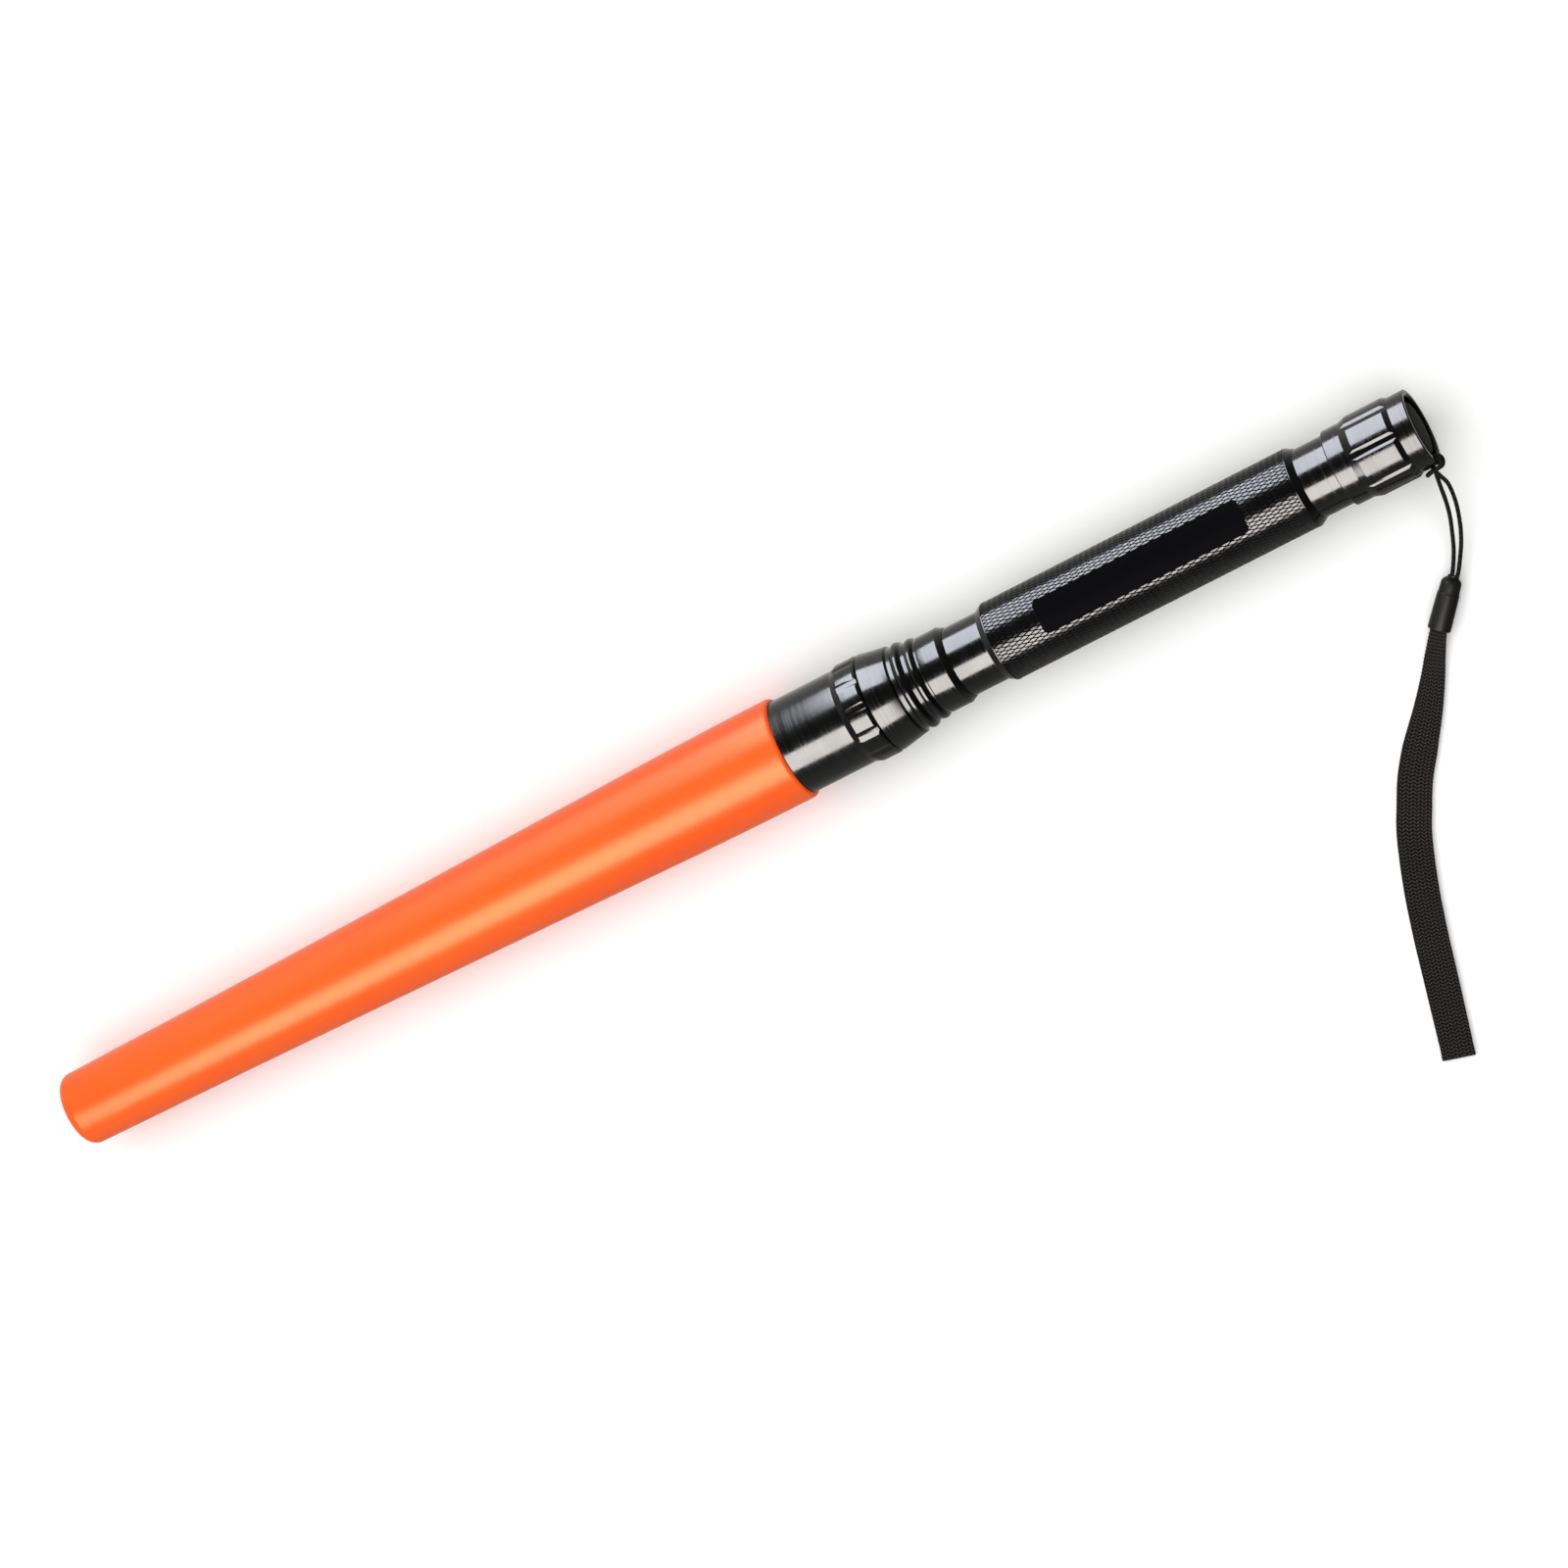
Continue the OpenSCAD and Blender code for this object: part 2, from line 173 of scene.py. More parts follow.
def eased(outline: Outline, ease: float, steps: int = 3) -> Outline:
    """Rounds every sharp corner of a closed outline a little, as a turned part's edges are.

    Args:
        outline: station and radius points, in millimetres.
        ease: radius of the rounding, in millimetres.
        steps: number of straight steps round a corner.

    Returns:
        The rounded outline.
    """
    sharp, most = math.radians(15), 0.42
    points = [Vector(p) for p in outline]
    rounded: Outline = []
    for i, here in enumerate(points):
        before, after = points[i - 1] - here, points[(i + 1) % len(points)] - here
        turn = math.pi - before.angle(after, math.pi)
        if here.y < 0.01 or turn < sharp:
            rounded.append(tuple(here))
            continue
        cut = min(ease * math.tan(turn / 2), most * before.length, most * after.length)
        start, end = here + cut * before.normalized(), here + cut * after.normalized()
        for k in range(steps + 1):
            t = k / steps
            rounded.append(tuple((1 - t) ** 2 * start + 2 * t * (1 - t) * here + t * t * end))
    return rounded


def flowing(points: Sequence[Sequence[float]], steps: int) -> list[Vector]:
    """Runs a smooth line through a route's points.

    Args:
        points: the route's points.
        steps: steps between one point and the next.

    Returns:
        The line's points.
    """
    p = [Vector(q) for q in points]
    p = [2 * p[0] - p[1], *p, 2 * p[-1] - p[-2]]
    line = []
    for i in range(1, len(p) - 2):
        for k in range(steps):
            t = k / steps
            bend = (2 * p[i - 1] - 5 * p[i] + 4 * p[i + 1] - p[i + 2]) * t**2
            swing = (3 * p[i] - p[i - 1] - 3 * p[i + 1] + p[i + 2]) * t**3
            line.append(0.5 * (2 * p[i] + (p[i + 1] - p[i - 1]) * t + bend + swing))
    return [*line, p[-2]]


@dataclass(frozen=True)
class Turning:
    """A piece turned on a lathe: one closed outline spun about an axis along X.

    The outline holds station and radius points in millimetres. It runs all the way round, or
    starts and ends on the axis. The axis is the torch's own, unless a height is given.
    """

    name: str
    outline: Outline
    segments: int = 128
    axis_h: float = AXIS_H

    def place(self, point: tuple[float, float]) -> Vector:
        """Where an outline point stands, in metres."""
        return Vector((point[0] * MM, 0.0, self.axis_h + point[1] * MM))

    def make(self) -> bpy.types.Object:
        """Draws the outline point by point from one vertex, and spins it.

        Returns:
            The turned piece, closed and facing outwards.
        """
        bpy.ops.object.select_all(action="DESELECT")
        bpy.ops.mesh.primitive_plane_add(size=MM)
        piece = bpy.context.active_object
        piece.name = piece.data.name = self.name
        with editing(piece):
            bpy.ops.mesh.select_all(action="SELECT")
            bpy.ops.mesh.merge(type="CENTER")
            here = self.place(self.outline[0])
            bpy.ops.transform.translate(value=here)
            ends = self.outline[1:]
            if self.outline[0][1] > 0:
                ends = ends + self.outline[:1]
            for point in ends:
                there = self.place(point)
                bpy.ops.mesh.extrude_vertices_move(
                    TRANSFORM_OT_translate={"value": there - here}
                )
                here = there
            bpy.ops.mesh.select_all(action="SELECT")
            bpy.ops.mesh.spin(
                steps=self.segments,
                angle=FULL_TURN,
                center=(0.0, 0.0, self.axis_h),
                axis=(1.0, 0.0, 0.0),
            )
            bpy.ops.mesh.select_all(action="SELECT")
            bpy.ops.mesh.remove_doubles(threshold=0.002 * MM)
            bpy.ops.mesh.normals_make_consistent(inside=False)
        face_outwards(piece)
        return piece


def face_outwards(piece: bpy.types.Object) -> None:
    """Turns a closed piece right side out, judged by the volume that its faces hold.

    Args:
        piece: the piece, whose faces agree with each other.
    """
    shape = bmesh.new()
    shape.from_mesh(piece.data)
    inside_out = shape.calc_volume(signed=True) < 0.0
    shape.free()
    if inside_out:
        with editing(piece):
            bpy.ops.mesh.select_all(action="SELECT")
            bpy.ops.mesh.flip_normals()


def smooth(piece: bpy.types.Object, degrees: float = 32.0) -> None:
    """Shades a piece smooth, keeping edges sharper than an angle.

    Args:
        piece: the piece.
        degrees: edges that turn more than this stay sharp.
    """
    pick(piece)
    bpy.ops.object.shade_smooth_by_angle(angle=math.radians(degrees))


def apply_modifier(
    piece: bpy.types.Object, name: str, kind: str, settings: dict[str, object]
) -> None:
    """Adds a modifier to a piece and applies it for good.

    Args:
        piece: the piece.
        name: the modifier's name.
        kind: its type.
        settings: its settings.
    """
    modifier = piece.modifiers.new(name, kind)
    for key, value in settings.items():
        setattr(modifier, key, value)
    pick(piece)
    bpy.ops.object.modifier_apply(modifier=name)


def turned_about_axis(degrees: float) -> Matrix:
    """Turn about the torch's axis, from straight up towards the strap's side."""
    about = Matrix.Translation(AXIS) @ Matrix.Rotation(math.radians(degrees), 4, "X")
    return about @ Matrix.Translation(-AXIS)


@dataclass(frozen=True)
class Slot:
    """An axial slot milled in a round part, with flared sides. Sizes are in millimetres."""

    x0: float
    x1: float
    floor_w: float
    floor_r: float
    top_w: float
    top_r: float

    def cutter(self) -> bpy.types.Object:
        """Makes the cutter for one slot, at the top of the torch.

        Returns:
            A bar whose top is wider than its floor.
        """
        bpy.ops.object.select_all(action="DESELECT")
        bpy.ops.mesh.primitive_cube_add(size=1.0)
        bar = bpy.context.active_object
        size = (self.x1 - self.x0, self.floor_w, self.top_r - self.floor_r)
        middle = ((self.x0 + self.x1) / 2, 0.0, (self.top_r + self.floor_r) / 2)
        with editing(bar):
            bpy.ops.mesh.select_all(action="SELECT")
            bpy.ops.transform.resize(value=[s * MM for s in size], center_override=(0, 0, 0))
            bpy.ops.transform.translate(value=AXIS + Vector(middle) * MM)
            pick_elements(bar, Element.FACE, lambda face: face.normal.z > 0.9)
            bpy.ops.transform.resize(
                value=(1.0, self.top_w / self.floor_w, 1.0),
                center_override=AXIS + Vector((middle[0], 0.0, self.top_r)) * MM,
            )
        return bar

    def cut(self, piece: bpy.types.Object, count: int, phase: float) -> None:
        """Cuts the slot into a piece, repeated round the torch.

        Args:
            piece: the piece to cut.
            count: number of slots.
            phase: angle of the first slot, in degrees.
        """
        bars = []
        first = self.cutter()
        for i in range(count):
            bars.append(bring_in("slot_cutter", first.data.copy()))
            bars[-1].data.transform(turned_about_axis(phase + i * 360 / count))
        bpy.data.objects.remove(first)
        subtract(piece, bars)


def subtract(piece: bpy.types.Object, cutters: Sequence[bpy.types.Object]) -> None:
    """Cuts a group of solids out of a piece, and removes them.

    Args:
        piece: the piece to cut.
        cutters: the solids to cut away, clear of each other.
    """
    tool = cutters[0]
    pick(tool)
    for cutter in cutters:
        cutter.select_set(True)
    if len(cutters) > 1:
        bpy.ops.object.join()
    settings = {"object": tool, "operation": "DIFFERENCE", "solver": "EXACT"}
    apply_modifier(piece, "cut", "BOOLEAN", settings)
    bpy.data.objects.remove(tool)


# ---------------------------------------------------------------- finishes


def colour(code: str) -> tuple[float, float, float, float]:
    """Turns an sRGB hex colour into Blender's linear one.

    Args:
        code: six hex digits.

    Returns:
        Linear red, green, blue and full alpha.
    """
    parts = [int(code[i : i + 2], 16) / 255 for i in (0, 2, 4)]
    linear = [p / 12.92 if p <= 0.04045 else ((p + 0.055) / 1.055) ** 2.4 for p in parts]
    return (*linear, 1.0)


def fill(node: bpy.types.Node, inputs: dict[str | int, object]) -> bpy.types.Node:
    """Gives a shader node's inputs their values, or links them to other nodes' outputs.

    Args:
        node: the node.
        inputs: values for its inputs, or output sockets to link to them.

    Returns:
        The node.
    """
    for key, value in inputs.items():
        if isinstance(value, bpy.types.NodeSocket):
            node.id_data.links.new(value, node.inputs[key])
        else:
            node.inputs[key].default_value = value
    return node


def add_node(
    tree: bpy.types.NodeTree,
    kind: str,
    inputs: dict[str | int, object],
    settings: dict[str, object] | None = None,
    stops: Sequence[tuple[float, str]] = (),
) -> bpy.types.Node:
    """Adds a shader node with its settings and links.

    Args:
        tree: the material's node tree.
        kind: the node's type name, after its ShaderNode prefix.
        inputs: values for its inputs, or output sockets to link to them.
        settings: properties to set on the node.
        stops: place and sRGB colour of a colour ramp's two stops.

    Returns:
        The new node.
    """
    node = tree.nodes.new("ShaderNode" + kind)
    for key, value in (settings or {}).items():
        setattr(node, key, value)
    for i, (place, code) in enumerate(stops):
        node.color_ramp.elements[i].position = place
        node.color_ramp.elements[i].color = colour(code)
    return fill(node, inputs)


def noise_mm(
    tree: bpy.types.NodeTree, scale: tuple[float, float, float], detail: float
) -> bpy.types.NodeSocket:
    """A cloudy pattern of a real size, fixed to the piece.

    Args:
        tree: the material's node tree.
        scale: clouds per millimetre, along X, Y and Z.
        detail: how much finer structure the clouds have.

    Returns:
        The pattern, from 0 to 1.
    """
    place = add_node(tree, "TexCoord", {}).outputs["Object"]
    per_metre = [s / MM for s in scale]
    mapped = add_node(tree, "Mapping", {"Vector": place, "Scale": per_metre}).outputs["Vector"]
    noise = add_node(tree, "TexNoise", {"Vector": mapped, "Scale": 1.0, "Detail": detail})
    return noise.outputs["Fac"]


@dataclass(frozen=True)
class Finish:
    """A procedural material, built once and shared by the pieces that have it."""

    name: str

    @cache
    def build(self) -> bpy.types.Material:
        """Builds the finish.

        Returns:
            The material.
        """
        material = bpy.data.materials.new(self.name)
        material.use_nodes = True
        tree = material.node_tree
        fill(tree.nodes["Principled BSDF"], self.surface(tree))
        return material

    def surface(self, tree: bpy.types.NodeTree) -> dict[str | int, object]:
        """Adds the finish's patterns.

        Args:
            tree: the material's node tree.

        Returns:
            Values and links for the surface shader's inputs.
        """
        raise NotImplementedError


@dataclass(frozen=True)
class AnodisedAluminium(Finish):
    """Aluminium, turned, then black anodised: a dark metal gloss with faint turning lines.

    The dye leaves the metal's own reflection, so edges and lamps show bright on near black.
    """

    name: str = "black_anodised_aluminium_turned"
    tint: str = "424244"
    rubbed: str = "484849"
    roughness: float = 0.15
    line_mm: float = 0.5

    def surface(self, tree: bpy.types.NodeTree) -> dict[str | int, object]:
        """Adds turning lines in the gloss and a cloudy tint, as Finish.surface says."""
        # turning lines run round the torch, so the noise is fine along X and slow across it;
        # real ones are some 0.1 mm apart, drawn at half a millimetre so that they show
        rings = noise_mm(tree, (1 / self.line_mm, 0.02, 0.02), 3.0)
        cloud = noise_mm(tree, (0.08, 0.08, 0.08), 4.0)
        stops = [(0.35, self.tint), (0.75, self.rubbed)]
        base = add_node(tree, "ValToRGB", {"Fac": cloud}, stops=stops)
        limits = {"From Min": 0.3, "From Max": 0.7}
        limits |= {"To Min": self.roughness - 0.05, "To Max": self.roughness + 0.07}
        rough = add_node(tree, "MapRange", {"Value": rings, **limits})
        relief = add_node(
            tree, "Bump", {"Height": rings, "Distance": 0.01 * MM, "Strength": 0.1}
        )
        return {
            "Base Color": base.outputs["Color"],
            "Roughness": rough.outputs["Result"],
            "Normal": relief.outputs["Normal"],
            "Metallic": 1.0,
        }


@dataclass(frozen=True)
class Plastic(Finish):
    """Moulded plastic or rubber: a dyed body with a faint mould grain and uneven gloss."""

    deep: str
    light: str
    roughness: float
    grain_mm: float = 0.6
    grain_depth_mm: float = 0.02
    ior: float = 1.5
    subsurface: float = 0.0
    glow_mm: float = 2.0
    shine: float = 0.5
    shine_tint: str = "ffffff"

    def surface(self, tree: bpy.types.NodeTree) -> dict[str | int, object]:
        """Adds the mould's grain and the slow flow of the dye, as Finish.surface says."""
        grain = noise_mm(tree, (1 / self.grain_mm,) * 3, 4.0)
        flow = noise_mm(tree, (0.01, 0.05, 0.05), 3.0)
        stops = [(0.3, self.deep), (0.7, self.light)]
        base = add_node(tree, "ValToRGB", {"Fac": flow}, stops=stops)
        limits = {"From Min": 0.3, "From Max": 0.7}
        limits |= {"To Min": self.roughness - 0.04, "To Max": self.roughness + 0.04}
        rough = add_node(tree, "MapRange", {"Value": grain, **limits})
        depth = self.grain_depth_mm * MM
        relief = add_node(tree, "Bump", {"Height": grain, "Distance": depth, "Strength": 0.3})
        return {
            "Base Color": base.outputs["Color"],
            "Roughness": rough.outputs["Result"],
            "Normal": relief.outputs["Normal"],
            "IOR": self.ior,
            "Subsurface Weight": self.subsurface,
            "Subsurface Radius": (1.0, 0.35, 0.1),
            "Subsurface Scale": self.glow_mm * MM,
            "Specular IOR Level": self.shine,
            "Specular Tint": colour(self.shine_tint),
        }


@dataclass(frozen=True)
class BareMetal(Finish):
    """A bare or plated metal, with fine lines and a cloudy gloss."""

    tint: str
    shade: str
    roughness: float
    line_mm: float = 0.3

    def surface(self, tree: bpy.types.NodeTree) -> dict[str | int, object]:
        """Adds lines in the tint and the gloss, as Finish.surface says."""
        lines = noise_mm(tree, (1 / self.line_mm, 0.1, 0.1), 3.0)
        stops = [(0.3, self.shade), (0.6, self.tint)]
        base = add_node(tree, "ValToRGB", {"Fac": lines}, stops=stops)
        limits = {"To Min": self.roughness * 0.7, "To Max": self.roughness * 1.3}
        rough = add_node(tree, "MapRange", {"Value": lines, **limits})
        return {
            "Base Color": base.outputs["Color"],
            "Roughness": rough.outputs["Result"],
            "Metallic": 1.0,
        }


@dataclass(frozen=True)
class ClearGlass(Finish):
    """Toughened float glass: clear, with the faintest green and dust in its gloss."""

    name: str = "toughened_glass_polished"

    def surface(self, tree: bpy.types.NodeTree) -> dict[str | int, object]:
        """Adds the dust, as Finish.surface says."""
        dust = noise_mm(tree, (0.5, 0.5, 0.5), 5.0)
        rough = add_node(tree, "MapRange", {"Value": dust, "To Min": 0.0, "To Max": 0.06})
        return {
            "Base Color": colour("f2fbf7"),
            "Roughness": rough.outputs["Result"],
            "Transmission Weight": 1.0,
            "IOR": 1.52,
        }


@dataclass(frozen=True)
class PalePaper(Finish):
    """Matt white background paper, very slightly mottled."""

    name: str = "floor_paper_pale"

    def surface(self, tree: bpy.types.NodeTree) -> dict[str | int, object]:
        """Adds the mottle, as Finish.surface says."""
        mottle = noise_mm(tree, (0.002,) * 3, 2.0)
        stops = [(0.3, "f4f4f4"), (0.7, "f7f7f7")]
        tone = add_node(tree, "ValToRGB", {"Fac": mottle}, stops=stops)
        return {
            "Base Color": tone.outputs["Color"],
            "Roughness": 0.9,
            "Specular IOR Level": 0.0,
        }


@dataclass(frozen=True)
class WovenNylon(Finish):
    """Black nylon, woven or braided: chevron rows of yarn with a dull thread sheen, their crowns
    painted lighter as a highlight and the dips between them painted darker as shade.

    The pattern follows the piece's own UV map, in millimetres: across it and along it.
    """

    yarn_mm: float
    rows_mm: float
    slope: float
    # painted shade in the dips between yarns, and painted highlight on their crowns
    deep: str = "030303"
    light: str = "3a3735"
    depth_mm: float = 0.12

    def surface(self, tree: bpy.types.NodeTree) -> dict[str | int, object]:
        """Adds the chevrons, with painted highlight on the yarns' crowns and painted shade between
        them, and the fuzz on them, as Finish.surface says.
        """
        uv = add_node(tree, "UVMap", {}, {"uv_map": "UVMap"})
        split = add_node(tree, "SeparateXYZ", {0: uv.outputs["UV"]})
        across, along = split.outputs["X"], split.outputs["Y"]
        lint = noise_mm(tree, (3.0, 3.0, 3.0), 3.0)
        # each rib runs one way and its neighbour the other, which makes the chevrons
        sums = {
            "rib": ("PINGPONG", across, self.rows_mm),
            "lean": ("MULTIPLY", "rib", self.slope),
            "place": ("ADD", along, "lean"),
            "row": ("DIVIDE", "place", self.yarn_mm),
            "angle": ("MULTIPLY", "row", FULL_TURN),
            "wave": ("SINE", "angle"),
            "yarn": ("MULTIPLY_ADD", "wave", 0.5, 0.5),
            "edge": ("PINGPONG", across, self.rows_mm / 2),
            "crown": ("DIVIDE", "edge", self.rows_mm / 2),
            "swell": ("MULTIPLY_ADD", "crown", 0.5, 0.5),
            "height": ("MULTIPLY", "yarn", "swell"),
            "fuzz": ("MULTIPLY_ADD", lint, 0.8, 0.5),
            "shade": ("MULTIPLY", "height", "fuzz"),
        }
        made: dict[object, bpy.types.NodeSocket] = {}
        for name, (kind, *terms) in sums.items():
            inputs = {i: made.get(term, term) for i, term in enumerate(terms)}
            made[name] = add_node(tree, "Math", inputs, {"operation": kind}).outputs["Value"]
        # the weave's height, mottled by the fuzz, sets the colour: painted shade in the dips and
        # painted highlight on the crowns
        stops = [(0.3, self.deep), (0.8, self.light)]
        base = add_node(tree, "ValToRGB", {"Fac": made["shade"]}, stops=stops)
        depth = {"Distance": self.depth_mm * MM, "Strength": 0.8}
        relief = add_node(tree, "Bump", {"Height": made["height"], **depth})
        return {
            "Base Color": base.outputs["Color"],
            "Normal": relief.outputs["Normal"],
            "Roughness": 0.6,
            "Specular IOR Level": 0.03,
        }


# the torch's metal: near black, with lamps and edges bright in its gloss
ANODISED = AnodisedAluminium()
# the knurling wheel roughens the grooves that it presses; their darker colour is painted shade, for
# the narrow grooves that lie in shade beside the diamonds
KNURL_GROOVE_PAINTED_SHADE = AnodisedAluminium(
    "black_anodised_aluminium_rolled", "141415", "1a1a1b", 0.5, line_mm=0.3
)
# a flat black film that shows almost no reflection
LABEL_BLACK = Plastic(
    "black_lacquer_screen_printed", "060608", "09090c", 0.6, grain_depth_mm=0.005, shine=0.01
)
# waxy and translucent: light sinks in, and the reflections are soft and warm
CONE_PLASTIC = Plastic(
    "polythene_orange_moulded", "f95611", "fb5f19", 0.34, grain_mm=0.8, subsurface=0.25,
    glow_mm=2.5, shine=0.42, shine_tint="ffedbc",
)
# soft black rubbers: the seals have an oily gloss, and the button is matt
SEAL_RUBBER = Plastic("nitrile_rubber_moulded", "0a0a0a", "151515", 0.45, ior=1.52)
BOOT_RUBBER = Plastic("silicone_rubber_black_moulded", "121214", "18181a", 0.6, shine=0.1)
# hard plastics: the bead has a fine satin grain, the spacer and the switch are plain
BEAD_PLASTIC = Plastic("abs_black_moulded", "0b0b0b", "121211", 0.42, grain_mm=0.4, shine=0.25)
SPACER_PLASTIC = Plastic("acetal_black_turned", "0c0c0c", "161616", 0.5)
NYLON = Plastic("nylon_natural_moulded", "d9d4c4", "e6e2d6", 0.45, subsurface=0.1)
# smooth films and casts inside the torch
PHOSPHOR = Plastic("led_phosphor_cast", "d9c046", "efe08a", 0.3)
WHITE_BOARD = Plastic("solder_mask_white_printed", "d8d8d4", "efefec", 0.35)
GREEN_BOARD = Plastic("solder_mask_green_printed", "0c4a22", "14662f", 0.3)
CELL_WRAP = Plastic("pvc_sleeve_blue_shrunk", "1c4f9a", "2a66b8", 0.28)
# bright metals: the reflector is a mirror, and turning and drawing leave lines in the others
MIRROR = BareMetal("aluminium_vacuum_plated", "f4f4f6", "dcdce0", 0.05, 1.5)
BRASS = BareMetal("brass_turned", "d9b15c", "b98d3c", 0.28)
GOLD_WIRE = BareMetal("spring_wire_gold_plated", "e8c262", "c79a3e", 0.2)
PLAIN_ALUMINIUM = BareMetal("aluminium_turned", "d8d8da", "b4b4b8", 0.3)
# dull black yarns, with chevrons painted lighter on the yarns' crowns as highlight and darker
# between them as shade
CORD_NYLON = WovenNylon("nylon_cord_braided", 0.9, 1.02, 1.0, depth_mm=0.1)
TAPE_NYLON = WovenNylon("nylon_tape_woven", 1.1, 1.1, 0.8)


def dress(piece: bpy.types.Object, finish: Finish) -> None:
    """Gives a piece or CAD node one finish."""
    piece.data.materials.clear()
    piece.data.materials.append(finish.build())


def mount(
    piece: bpy.types.Object, finish: Finish, body: str, replaced: str | None = None
) -> None:
    """Dresses a finished piece and puts it on its body, in place of a CAD node.

    Args:
        piece: the finished piece.
        finish: its finish.
        body: the CAD body that it rides on.
        replaced: the CAD node that it stands for, if any.
    """
    dress(piece, finish)
    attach(piece, body)
    if replaced:
        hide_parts(replaced)
    log.info("%s rides on %s: %d faces", piece.name, body, len(piece.data.polygons))


# ---------------------------------------------------------------- sub-assemblies


@dataclass
class Studio:
    """The pale floor, two long soft boxes and the camera. Lengths are in metres."""

    distance: float = 2.4
    tilt: float = math.radians(16.0)
    picture_turn: float = math.radians(26.95)
    lens_mm: float = 182.83
    aim: tuple[float, float] = (0.0144, -0.00874)
    floor_size: float = 6.0
    ceiling_glow: float = 0.07
    wall_glow: tuple[float, float] = (0.33, 0.85)
    tail_wall_share: float = 0.15

    def add_camera(self) -> None:
        """Adds the camera, above the torch and leaning towards its tail."""
        target = Vector((self.aim[0], self.aim[1], AXIS_H))
        back = Vector((math.sin(self.tilt), 0.0, math.cos(self.tilt)))
        along = Vector((math.cos(self.tilt), 0.0, -math.sin(self.tilt)))
        strapwards = Vector((0.0, -1.0, 0.0))
        cos, sin = math.cos(self.picture_turn), math.sin(self.picture_turn)
        right = cos * along + sin * strapwards
        up = sin * along - cos * strapwards
        place = Matrix((right, up, back)).transposed().to_4x4()
        place.translation = target + self.distance * back
        data = bpy.data.cameras.new("camera")
        data.lens = self.lens_mm
        data.sensor_width = 36.0
        data.clip_end = 50.0
        camera = bring_in("camera", data)
        camera.matrix_world = place
        bpy.context.scene.camera = camera

    def add_floor(self) -> None:
        """Adds the pale floor that the torch lies on."""
        bpy.ops.object.select_all(action="DESELECT")
        bpy.ops.mesh.primitive_plane_add(size=self.floor_size, location=(0.0, 0.0, -0.0001))
        floor = bpy.context.active_object
        floor.name = "floor"
        dress(floor, PalePaper())
        floor.visible_glossy = False

    def add_soft_box(
        self, name: str, lean: float, far: float, ends: tuple[float, float], width: float,
        glow: float, tint: str, seen_in: SeenIn,
    ) -> None:
        """Adds one soft box, long along the torch and facing it.

        Args:
            name: its name.
            lean: angle from straight up towards the strap's side, in degrees.
            far: distance from the torch.
            ends: where it starts and ends along the torch.
            width: its width.
            glow: brightness of its face, where the lit floor is about 1.
            tint: its sRGB colour.
            seen_in: whether it shows as a reflection or lights the surfaces.
        """
        data = bpy.data.lights.new(name, "AREA")
        data.shape = "RECTANGLE"
        data.size, data.size_y = ends[1] - ends[0], width
        data.energy = glow * math.pi * data.size * data.size_y
        data.color = colour(tint)[:3]
        box = bring_in(name, data)
        box.visible_camera = False
        box.visible_diffuse = seen_in is SeenIn.WASH
        box.visible_glossy = seen_in is SeenIn.SHINE
        away = Matrix.Rotation(math.radians(lean), 4, "X")
        middle = (ends[0] + ends[1]) / 2
        box.matrix_world = Matrix.Translation(AXIS) @ away @ Matrix.Translation((middle, 0.0, far))

    def add_room(self) -> None:
        """Adds the dim room round the table: brighter on one side, and dark behind the tail."""
        world = bpy.data.worlds.new("room")
        world.use_nodes = True
        tree = world.node_tree
        place = add_node(tree, "TexCoord", {}).outputs["Generated"]
        split = add_node(tree, "SeparateXYZ", {0: place}).outputs
        # the walls grow brighter across the torch, and dimmer towards its tail
        across = ("Y", -0.35, 0.35, *self.wall_glow)
        towards_tail = ("X", 0.2, 0.6, 1.0, self.tail_wall_share)
        walls = {}
        for i, (axis, start, end, first, last) in enumerate((across, towards_tail)):
            limits = {"From Min": start, "From Max": end, "To Min": first, "To Max": last}
            share = add_node(tree, "MapRange", {"Value": split[axis], **limits})
            walls[i] = share.outputs["Result"]
        wall = add_node(tree, "Math", walls, {"operation": "MULTIPLY"}).outputs["Value"]
        limits = {"From Min": 0.9, "From Max": -0.1, "To Min": self.ceiling_glow, "To Max": wall}
        glow = add_node(tree, "MapRange", {"Value": split["Z"], **limits}).outputs["Result"]
        fill(tree.nodes["Background"], {"Color": colour("fbf9f2"), "Strength": glow})
        bpy.context.scene.world = world

    def add_light(self) -> None:
        """Adds the soft boxes, the wash of light from above and the room.

        The fill box stops short of the cone, so only the torch shows a second stripe.
        """
        self.add_soft_box("key_box", 32.0, 1.3, (-1.0, 0.3), 1.02, 11.0, "fffaf0", SeenIn.SHINE)
        self.add_soft_box("fill_box", -66.0, 1.3, (-0.42, 0.3), 1.3, 9.9, "f5f8ff", SeenIn.SHINE)
        self.add_soft_box("wash_box", 0.0, 3.0, (-3.5, 3.5), 7.0, 1.85, "ffffff", SeenIn.WASH)
        self.add_room()
        bpy.context.scene.view_settings.view_transform = "Standard"

    def build(self) -> None:
        """Adds everything but the camera, which comes first."""
        self.add_floor()
        self.add_light()
        log.info("studio ready")


